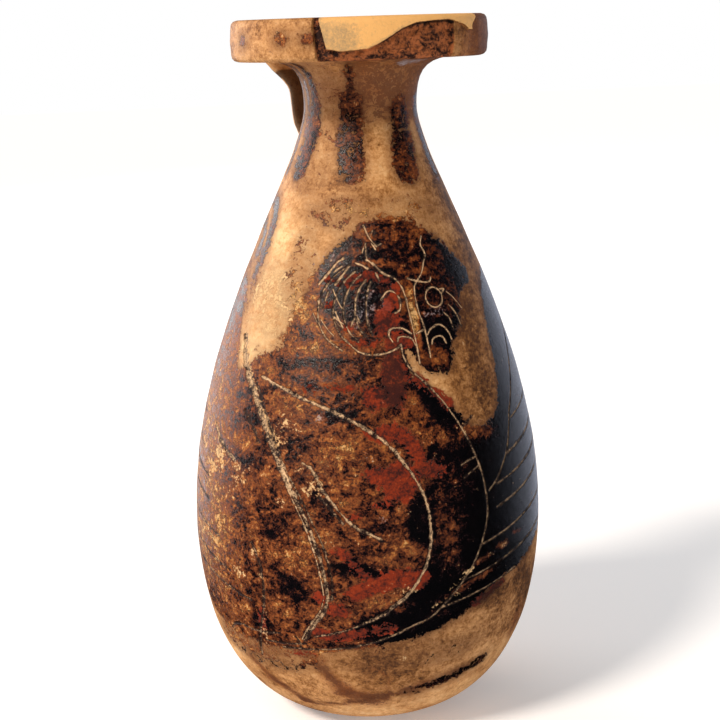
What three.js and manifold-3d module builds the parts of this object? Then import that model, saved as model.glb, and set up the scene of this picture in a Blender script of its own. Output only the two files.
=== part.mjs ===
// A pear-shaped oil flask of fired clay, thrown on the wheel, with a flat disc mouth
// and a strap handle that runs from the disc's underside to the shoulder.
// Millimetres, +Z up. The origin is the centre of the foot, on the surface it stands on.
// The handle is at the back, on +Y, and the painted animal's face is at the front, on -Y.
// An azimuth is counted in degrees from the front, towards +X.
import * as THREE from "three";
import { mergeVertices } from "three/addons/utils/BufferGeometryUtils.js";
import Module from "manifold-3d";

const wasm = await Module();
wasm.setup();

// Heights, each counted from the one below it.
const BELLY_HEIGHT = 26.0; // foot to the widest circle
const SHOULDER_RISE = 52.2; // widest circle to the narrowest part of the neck
const FLARE_RISE = 5.8; // narrowest part of the neck to the underside of the disc
const RIM_THICKNESS = 5.0;

// Outer radii.
const FOOT_RADIUS = 6.3;
const BELLY_RADIUS = 22.6;
const NECK_RADIUS = 7.1;
const RIM_RADIUS = 16.0;

// Inside.
const WALL = 2.6;
const FLOOR_THICKNESS = 3.3;
const BORE_RADIUS = 4.0;
const THROAT_CLOSENESS = 0.25; // the hollow ends this share of the wall away from the bore
const MOUTH_ROUNDING = 0.7;
const DISH_DEPTH = 1.1; // the top of the disc slopes this far down to the mouth
const DISH_LIP = 0.12; // how much of that fall is taken by the turn at the edge

// The hollow under the foot, which leaves a ring to stand on.
const DIMPLE_RADIUS = 3.6;
const DIMPLE_DEPTH = 0.7;
const DIMPLE_BEND = 0.5; // its roof turns down at this share of its radius
const DIMPLE_BEND_DEPTH = 0.75; // where it still has this share of its depth

// The edge of the disc, which dried a little out of true.
const RIM_ROUNDING = 0.75;
const RIM_BULGE = 0.12;
const RIM_LIFT = 0.4; // the disc is this much higher on one side
const RIM_LIFT_AZIMUTH = 61;

// How full the curves are, as shares of the spans that they cross.
const FOOT_FULLNESS = 0.62;
const UNDERBELLY_FULLNESS = 0.627;
const SHOULDER_FULLNESS = 0.445;
const NECK_FULLNESS = 0.132;
const FLARE_REACH = 0.6; // how far out along the disc the neck's curve runs
const FLARE_FULLNESS = 0.64;
const FLARE_SPREAD = 0.15;

// The strap handle.
const HANDLE_THICKNESS = 1.8;
const HANDLE_EYE = 3.9; // free space between the neck and the strap
const HANDLE_HALF_WIDTH = 3.9;
const HANDLE_TOP_HALF_WIDTH = 7.6;
const HANDLE_RIM_INSET = 1.2; // from the edge of the disc to the middle of the strap
const HANDLE_DROP = 5.6; // from the narrowest part of the neck down to the lower root
const HANDLE_ROOT = 0.9; // how deep the strap's ends go into the disc and the shoulder
const HANDLE_WIDENING = 0.4; // the share of its length over which the strap spreads out
const HANDLE_SAG = 0.018; // how much the edges bend towards the neck, per square millimetre

// Where the strap's middle line passes between its ends, as shares of the way out, of the
// flare's rise and of the handle's drop.
const HANDLE_CROWN_REACH = 0.55;
const HANDLE_CROWN_DROP = 0.2;
const HANDLE_EYE_LIFT = 0.25;
const HANDLE_RETURN_REACH = 0.65;
const HANDLE_RETURN_DROP = 0.5;

// The scar where the outer skin of the disc's edge has broken away, and the pale skin of
// fill above it, which ends in a hook over the sound part of the edge.
const SCAR_DEPTH = 0.75;
const SCAR_RIPPLE = 0.12;
const SCAR_RIPPLES = 9;
const SCAR_OVERCUT = 1.0;
const SCAR_START = -49;
const SCAR_NOTCH_END = -44; // up to here the scar reaches the top of the disc
const SCAR_CORE_END = 17; // past here only the skin of fill stands proud
const SCAR_END = 27;
const SCAR_STEPS = 24;
const FILL_THICKNESS = 0.25;
const FILL_LOW = 0.25; // the fill's lower edge, as shares of the disc's thickness
const FILL_HIGH = 0.86;
const FILL_HOOK_DROP = 0.24;
const FILL_LOW_END = -27;
const FILL_HIGH_START = -3;
const FILL_HOOK_START = 15;

// Facets.
const TURN_SEGMENTS = 60;
const LOWER_STEPS = 9;
const UPPER_STEPS = 13;
const INNER_STEPS = 7;
const FLARE_STEPS = 5;
const CORNER_STEPS = 3;
const STRAP_STATIONS = 16;
const STRAP_SIDES = 20;
const STRAP_BLUNTNESS = 0.6; // 1 makes the strap's section an oval, and 0 a rectangle

const NECK_HEIGHT = BELLY_HEIGHT + SHOULDER_RISE;
const RIM_UNDERSIDE = NECK_HEIGHT + FLARE_RISE;
const TOP = RIM_UNDERSIDE + RIM_THICKNESS;

const { degToRad, lerp, smoothstep } = THREE.MathUtils;
const point = (radius, height) => new THREE.Vector2(radius, height);

// Foot to widest circle.
const underbelly = new THREE.CubicBezierCurve(
  point(FOOT_RADIUS, 0),
  point(lerp(FOOT_RADIUS, BELLY_RADIUS, FOOT_FULLNESS), 0),
  point(BELLY_RADIUS, BELLY_HEIGHT * (1 - UNDERBELLY_FULLNESS)),
  point(BELLY_RADIUS, BELLY_HEIGHT),
);

// Widest circle to narrowest part of the neck.
const shoulder = new THREE.CubicBezierCurve(
  point(BELLY_RADIUS, BELLY_HEIGHT),
  point(BELLY_RADIUS, BELLY_HEIGHT + SHOULDER_FULLNESS * SHOULDER_RISE),
  point(NECK_RADIUS, NECK_HEIGHT - NECK_FULLNESS * SHOULDER_RISE),
  point(NECK_RADIUS, NECK_HEIGHT),
);

// Neck to the underside of the disc.
const flareRadius = lerp(NECK_RADIUS, RIM_RADIUS, FLARE_REACH);
const flare = new THREE.CubicBezierCurve(
  point(NECK_RADIUS, NECK_HEIGHT),
  point(NECK_RADIUS, NECK_HEIGHT + FLARE_FULLNESS * FLARE_RISE),
  point(lerp(NECK_RADIUS, flareRadius, FLARE_SPREAD), RIM_UNDERSIDE),
  point(flareRadius, RIM_UNDERSIDE),
);

function corner(from, middle, to) {
  return new THREE.QuadraticBezierCurve(from, middle, to).getPoints(CORNER_STEPS);
}

function rimEdge() {
  const side = RIM_RADIUS - RIM_BULGE;
  const lower = corner(
    point(side - RIM_ROUNDING, RIM_UNDERSIDE),
    point(side, RIM_UNDERSIDE),
    point(side, RIM_UNDERSIDE + RIM_ROUNDING),
  );
  const upper = corner(
    point(side, TOP - RIM_ROUNDING),
    point(side, TOP),
    point(side - RIM_ROUNDING, TOP),
  );
  return [...lower, point(RIM_RADIUS, (RIM_UNDERSIDE + TOP) / 2), ...upper];
}

// The top of the disc and the edge of the mouth, from the outside in.
function mouth() {
  const lip = RIM_RADIUS - RIM_BULGE - 2 * RIM_ROUNDING;
  const mouthHeight = TOP - DISH_DEPTH;
  return [
    point(lip, TOP - DISH_LIP * DISH_DEPTH),
    ...corner(
      point(BORE_RADIUS + MOUTH_ROUNDING, mouthHeight),
      point(BORE_RADIUS, mouthHeight),
      point(BORE_RADIUS, mouthHeight - MOUTH_ROUNDING),
    ),
  ];
}

// Points inside an outer curve, at the wall's thickness from it.
function inset(outer, thicknessAt) {
  const points = [];
  for (let i = 0; i <= INNER_STEPS; i++) {
    const share = i / INNER_STEPS;
    const tangent = outer.getTangent(share);
    const inward = point(-tangent.y, tangent.x);
    points.push(outer.getPoint(share).addScaledVector(inward, thicknessAt(share)));
  }
  return points;
}

// The inside, from the bore down: it widens below the throat and ends on the axis.
function cavity() {
  const lower = inset(underbelly, (share) => lerp(FLOOR_THICKNESS, WALL, share));
  const upper = inset(shoulder, () => WALL).slice(1);
  const wide = upper.filter((p) => p.x > BORE_RADIUS + THROAT_CLOSENESS * WALL);
  const throat = point(BORE_RADIUS, (wide.at(-1).y + NECK_HEIGHT) / 2);
  return [throat, ...wide.reverse(), ...lower.reverse(), point(0, FLOOR_THICKNESS)];
}

// Axis to axis: under the foot, up the outside, over the disc and down the inside.
function wallProfile() {
  return [
    point(0, DIMPLE_DEPTH),
    point(DIMPLE_BEND * DIMPLE_RADIUS, DIMPLE_BEND_DEPTH * DIMPLE_DEPTH),
    point(DIMPLE_RADIUS, 0),
    ...underbelly.getPoints(LOWER_STEPS),
    ...shoulder.getPoints(UPPER_STEPS).slice(1),
    ...flare.getPoints(FLARE_STEPS).slice(1),
    ...rimEdge(),
    ...mouth(),
    ...cavity(),
  ];
}

// A closed geometry as a solid that can be joined and cut.
function toSolid(geometry) {
  geometry.deleteAttribute("normal");
  geometry.deleteAttribute("uv");
  const merged = mergeVertices(geometry);
  const index = merged.index.array;
  const corners = [];
  for (let i = 0; i < index.length; i += 3) {
    const [a, b, c] = index.slice(i, i + 3);
    if (a !== b && b !== c && c !== a) corners.push(a, b, c);
  }
  return new wasm.Manifold(
    new wasm.Mesh({
      numProp: 3,
      vertProperties: merged.attributes.position.array,
      triVerts: new Uint32Array(corners),
    }),
  );
}

function toGeometry(solid) {
  const mesh = solid.getMesh();
  const geometry = new THREE.BufferGeometry();
  geometry.setAttribute("position", new THREE.Float32BufferAttribute(mesh.vertProperties, 3));
  geometry.setIndex(new THREE.Uint32BufferAttribute(mesh.triVerts, 1));
  geometry.computeVertexNormals();
  return geometry;
}

// A solid through a row of rings with the same number of points, closed at both ends.
// The points of a ring run clockwise for an eye that looks along the row.
function loft(rings) {
  const sides = rings[0].length;
  const middle = (ring) =>
    ring.reduce((sum, p) => sum.add(p), new THREE.Vector3()).divideScalar(ring.length);
  const vertices = [...rings.flat(), middle(rings[0]), middle(rings.at(-1))];
  const [first, last] = [vertices.length - 2, vertices.length - 1];
  const lastRing = first - sides;
  const faces = [];
  for (let j = 0; j < sides; j++) {
    const k = (j + 1) % sides;
    faces.push(first, k, j, last, lastRing + j, lastRing + k);
    for (let i = 0; i < lastRing; i += sides) {
      faces.push(i + j, i + k, i + k + sides, i + j, i + k + sides, i + j + sides);
    }
  }
  const geometry = new THREE.BufferGeometry().setFromPoints(vertices);
  geometry.setIndex(faces);
  return toSolid(geometry);
}

function thrownBody() {
  const geometry = new THREE.LatheGeometry(wallProfile(), TURN_SEGMENTS).rotateX(Math.PI / 2);
  const place = geometry.attributes.position;
  const towards = degToRad(RIM_LIFT_AZIMUTH - 90);
  for (let i = 0; i < place.count; i++) {
    const [x, y, z] = [place.getX(i), place.getY(i), place.getZ(i)];
    const across = (x * Math.cos(towards) + y * Math.sin(towards)) / RIM_RADIUS;
    const share = smoothstep(z, NECK_HEIGHT, RIM_UNDERSIDE);
    place.setZ(i, z + (RIM_LIFT / 2) * across * share);
  }
  return toSolid(geometry);
}

// The outer radius of the shoulder at a height, between two of its facets' corners.
function shoulderRadius(height) {
  const points = shoulder.getPoints(UPPER_STEPS);
  const above = points.findIndex((p) => p.y >= height);
  const [low, high] = [points[above - 1], points[above]];
  return lerp(low.x, high.x, (height - low.y) / (high.y - low.y));
}

// A flat oval with blunt ends, bent a little round the neck.
function strapSection(centre, outward, halfWidth) {
  const blunt = (value) => Math.sign(value) * Math.abs(value) ** STRAP_BLUNTNESS;
  const ring = [];
  for (let j = 0; j < STRAP_SIDES; j++) {
    const angle = (2 * Math.PI * j) / STRAP_SIDES;
    const across = halfWidth * blunt(Math.sin(angle));
    const out = (HANDLE_THICKNESS / 2) * blunt(Math.cos(angle)) - HANDLE_SAG * across ** 2;
    ring.push(new THREE.Vector3(across, 0, 0).add(centre).addScaledVector(outward, out));
  }
  return ring;
}

// The middle line of the strap, from inside the disc to inside the shoulder.
function strapLine() {
  const rootHeight = NECK_HEIGHT - HANDLE_DROP;
  const rootRadius = shoulderRadius(rootHeight);
  const eyeRadius = NECK_RADIUS + HANDLE_EYE + HANDLE_THICKNESS / 2;
  const topRadius = RIM_RADIUS - HANDLE_RIM_INSET;
  const at = (radius, height) => new THREE.Vector3(0, radius, height);
  return new THREE.CatmullRomCurve3([
    at(topRadius, RIM_UNDERSIDE + HANDLE_ROOT),
    at(
      lerp(eyeRadius, topRadius, HANDLE_CROWN_REACH),
      RIM_UNDERSIDE - HANDLE_CROWN_DROP * FLARE_RISE,
    ),
    at(eyeRadius, NECK_HEIGHT + HANDLE_EYE_LIFT * FLARE_RISE),
    at(
      lerp(rootRadius, eyeRadius, HANDLE_RETURN_REACH),
      NECK_HEIGHT - HANDLE_RETURN_DROP * HANDLE_DROP,
    ),
    at(rootRadius - HANDLE_ROOT, rootHeight),
  ]);
}

function strapHandle() {
  const line = strapLine();
  const rings = [];
  for (let i = 0; i <= STRAP_STATIONS; i++) {
    const share = i / STRAP_STATIONS;
    const along = line.getTangentAt(share);
    const outward = new THREE.Vector3(0, -along.z, along.y);
    const narrowed = smoothstep(share, 0, HANDLE_WIDENING);
    const halfWidth = lerp(HANDLE_TOP_HALF_WIDTH, HANDLE_HALF_WIDTH, narrowed);
    rings.push(strapSection(line.getPointAt(share), outward, halfWidth));
  }
  return loft(rings);
}

// The height of the scar's upper edge: over the top of the disc at the notch, and the
// lower edge of the fill beyond it.
function scarTop(azimuth) {
  if (azimuth < SCAR_NOTCH_END) return TOP + SCAR_OVERCUT;
  const climb = smoothstep(azimuth, FILL_LOW_END, FILL_HIGH_START);
  const hook = smoothstep(azimuth, FILL_HOOK_START, SCAR_END);
  const share = lerp(FILL_LOW, FILL_HIGH, climb) - FILL_HOOK_DROP * hook;
  return lerp(RIM_UNDERSIDE, TOP, share);
}

function scarDepth(azimuth) {
  if (azimuth > SCAR_CORE_END) return FILL_THICKNESS;
  const share = (azimuth - SCAR_START) / (SCAR_CORE_END - SCAR_START);
  return SCAR_DEPTH + SCAR_RIPPLE * Math.sin(2 * Math.PI * SCAR_RIPPLES * share);
}

function rimScar() {
  const outer = RIM_RADIUS + SCAR_OVERCUT;
  const low = RIM_UNDERSIDE - SCAR_OVERCUT;
  const rings = [];
  for (let i = 0; i <= SCAR_STEPS; i++) {
    const azimuth = lerp(SCAR_START, SCAR_END, i / SCAR_STEPS);
    const inner = RIM_RADIUS - scarDepth(azimuth);
    const high = scarTop(azimuth);
    const turn = degToRad(azimuth - 90);
    const at = (radius, height) =>
      new THREE.Vector3(radius * Math.cos(turn), radius * Math.sin(turn), height);
    rings.push([at(inner, low), at(inner, high), at(outer, high), at(outer, low)]);
  }
  return loft(rings);
}

const clay = new THREE.MeshStandardMaterial({ color: "#b07a45", roughness: 0.5, metalness: 0 });

const vessel = new THREE.Mesh(
  toGeometry(thrownBody().add(strapHandle()).subtract(rimScar())),
  clay,
);
vessel.name = "vessel";

const flask = new THREE.Group();
flask.add(vessel);
export default flask;
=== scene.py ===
"""A painted and incised oil flask of fired clay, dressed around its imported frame.

The flask is thrown as one grid of faces from its outline, and its strap handle is pressed on. The
incised lines, the broken edge of the disc and the marks of the wheel are cut into the mesh. The
paint is carried by vertex attributes, which the clay's finish turns into slip, red, wear and stains.

An azimuth is in degrees from the front (-Y) towards +X, and a height is in millimetres above the foot.
"""
import logging
import math
from dataclasses import dataclass, field
from enum import Enum
from functools import cached_property

import bpy
import numpy as np
from mathutils import Matrix, Vector, noise


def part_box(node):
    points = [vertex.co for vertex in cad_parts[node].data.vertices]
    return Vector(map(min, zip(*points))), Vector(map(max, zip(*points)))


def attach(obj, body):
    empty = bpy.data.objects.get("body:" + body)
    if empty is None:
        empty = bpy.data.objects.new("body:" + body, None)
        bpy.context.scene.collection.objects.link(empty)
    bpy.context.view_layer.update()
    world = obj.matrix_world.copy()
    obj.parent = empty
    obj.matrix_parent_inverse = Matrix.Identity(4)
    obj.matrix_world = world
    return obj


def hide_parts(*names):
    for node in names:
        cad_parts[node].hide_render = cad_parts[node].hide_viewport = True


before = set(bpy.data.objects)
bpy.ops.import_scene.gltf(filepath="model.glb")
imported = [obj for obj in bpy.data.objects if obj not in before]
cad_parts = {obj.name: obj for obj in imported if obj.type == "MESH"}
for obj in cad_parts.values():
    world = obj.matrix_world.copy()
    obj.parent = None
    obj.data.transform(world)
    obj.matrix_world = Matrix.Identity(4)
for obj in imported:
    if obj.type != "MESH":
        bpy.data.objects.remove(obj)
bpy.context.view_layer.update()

MM = 0.001
NODE = "vessel"
BODY = "root"
Point = tuple[float, float]
Weights = tuple[float, float, float]
log = logging.getLogger("flask")


class Layer(Enum):
    """What each vertex attribute of the flask says, and its name."""

    SLIP = "slip"
    BURN = "burn"
    RED = "red"
    CUT = "cut"
    PALE = "pale"
    CREAM = "cream"
    # The stain layer is partly painted shadow: the band on the upper neck under the disc.
    STAIN_AND_SHADOW = "stain_and_shadow"
    # The tone layer is partly painted light on the left shoulder and painted shade on the right side.
    TONE_LIGHT_AND_SHADE = "tone"
    # The bloom layer is partly painted sheen on the black slip.
    BLOOM = "bloom_and_sheen"
    FILL = "fill"
    CORE = "core"
    SHADE = "shade"


def bezier(corners: tuple[Point, ...], steps: int = 160) -> np.ndarray:
    """Points along a cubic curve.

    Args:
        corners: The curve's four control points.
        steps: How many points it gives.

    Returns:
        An array of points, one to a row.
    """
    share = np.linspace(0, 1, steps)[:, None]
    start, leave, arrive, end = (np.array(corner, float) for corner in corners)
    rest = 1 - share
    return rest**3 * start + 3 * rest**2 * share * leave + 3 * rest * share**2 * arrive + share**3 * end


def evenly(points: np.ndarray, spacing: float) -> np.ndarray:
    """Points along a run of straight lines, at about the same distance from each other.

    Args:
        points: The corners of the run.
        spacing: The distance wanted between two points.

    Returns:
        The new points, with the first and the last one kept.
    """
    steps = np.hypot(*np.diff(points, axis=0).T)
    along = np.concatenate([[0], np.cumsum(steps)])
    count = max(2, round(along[-1] / spacing) + 1)
    wanted = np.linspace(0, along[-1], count)
    return np.stack([np.interp(wanted, along, points[:, i]) for i in range(2)], axis=1)


def drawn(points: tuple[Point, ...], closed: bool = False, steps: int = 8) -> np.ndarray:
    """A smooth line through a few (azimuth, height) points, as the hand draws it.

    Args:
        points: The points that the line passes through.
        closed: Whether the line comes back to its first point.
        steps: How many straight pieces each span gets.

    Returns:
        The line's corners, one to a row.
    """
    corners = np.array(points, float)
    if closed:
        padded = np.vstack([corners[-1:], corners, corners[:2]])
    else:
        padded = np.vstack([2 * corners[0] - corners[1], corners, 2 * corners[-1] - corners[-2]])
    share = np.linspace(0, 1, steps, endpoint=False)[:, None]
    spans = []
    for before, start, end, after in zip(padded, padded[1:], padded[2:], padded[3:]):
        spans.append(
            start
            + share * (end - before) / 2
            + share**2 * (before - 2.5 * start + 2 * end - after / 2)
            + share**3 * (1.5 * (start - end) + (after - before) / 2)
        )
    spans.append(padded[-2][None])
    return np.vstack(spans)


def smooth(value: np.ndarray, low: float, high: float) -> np.ndarray:
    """A soft step from 0 below low to 1 above high."""
    share = np.clip((value - low) / (high - low), 0, 1)
    return share * share * (3 - 2 * share)


@dataclass(frozen=True)
class ThrownShape:
    """The flask's form on the wheel, in millimetres, with the lift of its disc left out."""

    belly_radius: float
    top: float
    belly_height: float = 26.0
    rim_thickness: float = 5.0
    flare_rise: float = 5.8
    foot_radius: float = 6.3
    neck_radius: float = 7.1
    rim_radius: float = 16.0
    rim_rounding: float = 0.75
    rim_bulge: float = 0.12
    dimple_radius: float = 3.6
    dimple_depth: float = 0.7
    dimple_bend: float = 0.5
    dimple_bend_depth: float = 0.75
    wall: float = 2.6
    floor_thickness: float = 3.3
    bore_radius: float = 4.0
    mouth_rounding: float = 0.7
    dish_depth: float = 1.1
    dish_start: float = 0.12
    foot_fullness: float = 0.62
    underbelly_fullness: float = 0.627
    shoulder_fullness: float = 0.445
    neck_fullness: float = 0.132
    flare_reach: float = 0.6
    flare_fullness: float = 0.64
    flare_spread: float = 0.15
    outer_spacing: float = 0.82
    inner_spacing: float = 2.4
    corner_points: int = 5

    @property
    def underside(self) -> float:
        """Height of the disc's underside."""
        return self.top - self.rim_thickness

    @property
    def neck_height(self) -> float:
        """Height of the narrowest part of the neck."""
        return self.underside - self.flare_rise

    def lower_wall(self) -> np.ndarray:
        """The outside from the foot to the widest circle.

        Returns:
            The (radius, height) points along it.
        """
        spread = self.foot_radius + self.foot_fullness * (self.belly_radius - self.foot_radius)
        return bezier((
            (self.foot_radius, 0),
            (spread, 0),
            (self.belly_radius, self.belly_height * (1 - self.underbelly_fullness)),
            (self.belly_radius, self.belly_height),
        ))

    def upper_wall(self) -> np.ndarray:
        """The outside from the widest circle to the narrowest part of the neck.

        Returns:
            The (radius, height) points along it.
        """
        rise = self.neck_height - self.belly_height
        return bezier((
            (self.belly_radius, self.belly_height),
            (self.belly_radius, self.belly_height + self.shoulder_fullness * rise),
            (self.neck_radius, self.neck_height - self.neck_fullness * rise),
            (self.neck_radius, self.neck_height),
        ))

    def flare(self) -> np.ndarray:
        """The outside from the neck to the underside of the disc.

        Returns:
            The (radius, height) points along it.
        """
        reach = self.neck_radius + self.flare_reach * (self.rim_radius - self.neck_radius)
        spread = self.neck_radius + self.flare_spread * (reach - self.neck_radius)
        return bezier((
            (self.neck_radius, self.neck_height),
            (self.neck_radius, self.neck_height + self.flare_fullness * self.flare_rise),
            (spread, self.underside),
            (reach, self.underside),
        ))

    def disc_edge(self) -> np.ndarray:
        """The outer edge of the disc, from its underside to its top.

        Returns:
            The (radius, height) points along it.
        """
        side = self.rim_radius - self.rim_bulge
        turn = np.linspace(0, math.pi / 2, self.corner_points)
        reach = side - self.rim_rounding
        lower = np.stack([
            reach + self.rim_rounding * np.sin(turn),
            self.underside + self.rim_rounding * (1 - np.cos(turn)),
        ], axis=1)
        upper = lower[::-1] * (1, -1) + (0, self.underside + self.top)
        return np.vstack([lower, [[self.rim_radius, (self.underside + self.top) / 2]], upper])

    def inside(self) -> np.ndarray:
        """The dished top of the disc, the mouth and the cavity, down to the axis.

        Returns:
            The (radius, height) points along it.
        """
        mouth = self.top - self.dish_depth
        turn = np.linspace(0, math.pi / 2, self.corner_points)
        lip = np.stack([
            self.bore_radius + self.mouth_rounding * (1 - np.sin(turn)),
            mouth - self.mouth_rounding * (1 - np.cos(turn)),
        ], axis=1)
        outside = np.vstack([self.lower_wall(), self.upper_wall()[1:]])
        along = np.gradient(outside, axis=0)
        along /= np.hypot(*along.T)[:, None]
        depth = np.interp(outside[:, 1], (0, self.belly_height), (self.floor_thickness, self.wall))
        cavity = outside + depth[:, None] * np.stack([-along[:, 1], along[:, 0]], axis=1)
        cavity = cavity[cavity[:, 0] > self.bore_radius][::-1]
        return np.vstack([
            lip,
            evenly(np.vstack([lip[-1:], cavity, [[0, self.floor_thickness]]]), self.inner_spacing)[1:],
        ])

    def outline(self) -> np.ndarray:
        """The whole profile, axis to axis: under the foot, up the outside, over the disc and down.

        Returns:
            The (radius, height) points along it.
        """
        dimple = np.array([
            (0, self.dimple_depth),
            (self.dimple_bend * self.dimple_radius, self.dimple_bend_depth * self.dimple_depth),
            (self.dimple_radius, 0),
        ])
        disc = evenly(self.disc_edge(), self.outer_spacing / 2)
        lip = (self.rim_radius - 2 * self.rim_rounding, self.top - self.dish_start)
        inside = self.inside()
        dish = evenly(np.vstack([[lip], inside[:1]]), self.outer_spacing)
        foot = evenly(np.array([(self.dimple_radius, 0), (self.foot_radius, 0)]), self.outer_spacing)
        return np.vstack([
            evenly(dimple, self.outer_spacing),
            foot[1:],
            evenly(self.wall_line(), self.outer_spacing)[1:],
            disc,
            dish,
            inside[1:],
        ])

    def wall_line(self) -> np.ndarray:
        """The outside from the foot to the underside of the disc."""
        return np.vstack([self.lower_wall(), self.upper_wall()[1:], self.flare()[1:]])

    def radius_at(self, height: np.ndarray) -> np.ndarray:
        """The outside's radius, up to the disc's underside."""
        wall = self.wall_line()
        return np.interp(height, wall[:, 1], wall[:, 0])


@dataclass(frozen=True)
class Incision:
    """A line cut through the slip with a point, in millimetres.

    Its cream says how pale the clay in it is, from 0 to 1, and its ragged how uneven its edges are.
    """

    points: tuple[Point, ...]
    width: float = 0.28
    depth: float = 0.09
    cream: float = 0.55
    ragged: float = 0.25
    closed: bool = False
    burr: float = 0.2
    burr_place: float = 1.35
    burr_spread: float = 0.3

    @cached_property
    def course(self) -> np.ndarray:
        """The line's corners."""
        return drawn(self.points, self.closed)

    def half_width(self, rough: np.ndarray) -> np.ndarray:
        """Half the line's width at each point, made uneven by a noise from -1 to 1."""
        return self.width / 2 * np.clip(1 + 1.5 * self.ragged * rough, 0.25, 2)

    def profile(self, off: np.ndarray) -> tuple[np.ndarray, np.ndarray]:
        """The groove's depth and the height of its burr, at distances counted in half widths."""
        burr = self.burr * np.exp(-(((off - self.burr_place) / self.burr_spread) ** 2))
        return self.depth * np.clip(1 - off**2, 0, 1), self.depth * burr


@dataclass(frozen=True)
class Patch:
    """A soft oval of paint, stain or wear: half sizes in degrees and millimetres, and a turn in degrees."""

    azimuth: float
    height: float
    half_width: float
    half_height: float
    weight: float = 1.0
    turn: float = 0.0


@dataclass(frozen=True)
class Streak:
    """A brushed streak along a line, with its half width in millimetres."""

    points: tuple[Point, ...]
    half_width: float
    weight: float = 1.0


Marks = tuple[Patch | Streak, ...]


def patches(*rows: tuple[float, ...]) -> tuple[Patch, ...]:
    """Patches, each from a row of its fields."""
    return tuple(Patch(*row) for row in rows)


class Unrolled:
    """Points of the flask, as azimuth and height, with distances in millimetres.

    A share says how high a point is in the disc, from 0 to 1, a degree how long one degree is
    there, and outwards how far the point lies outside the thrown wall.
    """

    def __init__(self, places: np.ndarray, shape: ThrownShape) -> None:
        """Unrolls points.

        Args:
            places: The points, one to a row, in metres.
            shape: The thrown form that they lie on.
        """
        x, y, z = (places / MM).T
        self.azimuth = np.degrees(np.arctan2(x, -y))
        self.height = z
        self.radius = np.hypot(x, y)
        self.degree = np.radians(np.maximum(shape.radius_at(z), 1.0))
        self.on_disc = z > shape.underside
        self.degree[self.on_disc] = math.radians(shape.rim_radius)
        self.share = (z - shape.underside) / shape.rim_thickness
        self.outwards = self.radius - shape.radius_at(z)

    def about(self, middle: float) -> np.ndarray:
        """The azimuths, counted so that none is more than half a turn from the middle."""
        return (self.azimuth - middle + 180) % 360 - 180 + middle

    def to_line(self, line: np.ndarray, reach: float) -> np.ndarray:
        """How far each point is from a line.

        Args:
            line: The line's (azimuth, height) corners.
            reach: The distance past which nothing is measured.

        Returns:
            A distance for each point, and the reach for those further off.
        """
        azimuth = self.about(line[:, 0].mean())
        found = np.full(len(azimuth), reach)
        margin = reach / self.degree
        near = (azimuth > line[:, 0].min() - margin) & (azimuth < line[:, 0].max() + margin)
        near &= (self.height > line[:, 1].min() - reach) & (self.height < line[:, 1].max() + reach)
        near = np.flatnonzero(near)
        scale = self.degree[near]
        best = np.full(len(near), reach**2)
        for start, end in zip(line, line[1:]):
            run = (end[0] - start[0]) * scale
            rise = end[1] - start[1]
            across = (azimuth[near] - start[0]) * scale
            up = self.height[near] - start[1]
            share = np.clip((across * run + up * rise) / (run**2 + rise**2 + 1e-9), 0, 1)
            best = np.minimum(best, (across - share * run) ** 2 + (up - share * rise) ** 2)
        found[near] = np.sqrt(best)
        return found

    def into_area(self, outline: np.ndarray, reach: float) -> np.ndarray:
        """How deep each point lies inside a closed outline.

        Args:
            outline: The outline's (azimuth, height) corners.
            reach: The distance past which nothing is measured.

        Returns:
            A depth for each point, below 0 outside the outline.
        """
        azimuth = self.about((outline[:, 0].min() + outline[:, 0].max()) / 2)
        inside = np.zeros(len(azimuth), bool)
        for start, end in zip(outline, outline[1:]):
            crosses = (start[1] > self.height) != (end[1] > self.height)
            if start[1] != end[1]:
                share = (self.height - start[1]) / (end[1] - start[1])
                inside ^= crosses & (azimuth < start[0] + share * (end[0] - start[0]))
        return np.where(inside, 1, -1) * self.to_line(outline, reach)

    def into_patch(self, patch: Patch) -> np.ndarray:
        """How far inside an oval each point lies.

        Args:
            patch: The oval.

        Returns:
            For each point 1 at the middle, 0 on the edge and less outside.
        """
        across = (self.about(patch.azimuth) - patch.azimuth) * self.degree
        up = self.height - patch.height
        turn = math.radians(patch.turn)
        half_width = patch.half_width * self.degree
        along = across * math.cos(turn) + up * math.sin(turn)
        off = up * math.cos(turn) - across * math.sin(turn)
        return 1 - np.hypot(along / half_width, off / patch.half_height)

    def cover(self, marks: Marks, soft: float = 1.5, full: float = 0.6) -> np.ndarray:
        """The sum of soft marks, each fading out past its edge.

        Args:
            marks: The patches and streaks.
            soft: How many times its half size a mark reaches.
            full: How far inside a mark its weight is reached.

        Returns:
            A value for each point.
        """
        total = np.zeros(len(self.azimuth))
        for mark in marks:
            if isinstance(mark, Patch):
                level = self.into_patch(mark)
            else:
                reach = soft * mark.half_width
                level = 1 - self.to_line(drawn(mark.points), reach) / mark.half_width
            total += mark.weight * smooth(level, 1 - soft, full)
        return total

    def depth_in(self, marks: Marks, reach: float = 3.0) -> np.ndarray:
        """How deep each point lies inside the nearest mark, in millimetres.

        Args:
            marks: The patches and streaks.
            reach: The depth and distance past which nothing is measured.

        Returns:
            A depth for each point, below 0 outside the marks.
        """
        deepest = np.full(len(self.azimuth), -reach)
        for mark in marks:
            if isinstance(mark, Patch):
                size = np.minimum(mark.half_width * self.degree, mark.half_height)
                depth = self.into_patch(mark) * size
            else:
                depth = mark.half_width - self.to_line(drawn(mark.points), reach)
            deepest = np.maximum(deepest, depth)
        return np.clip(deepest, -reach, reach)


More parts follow.
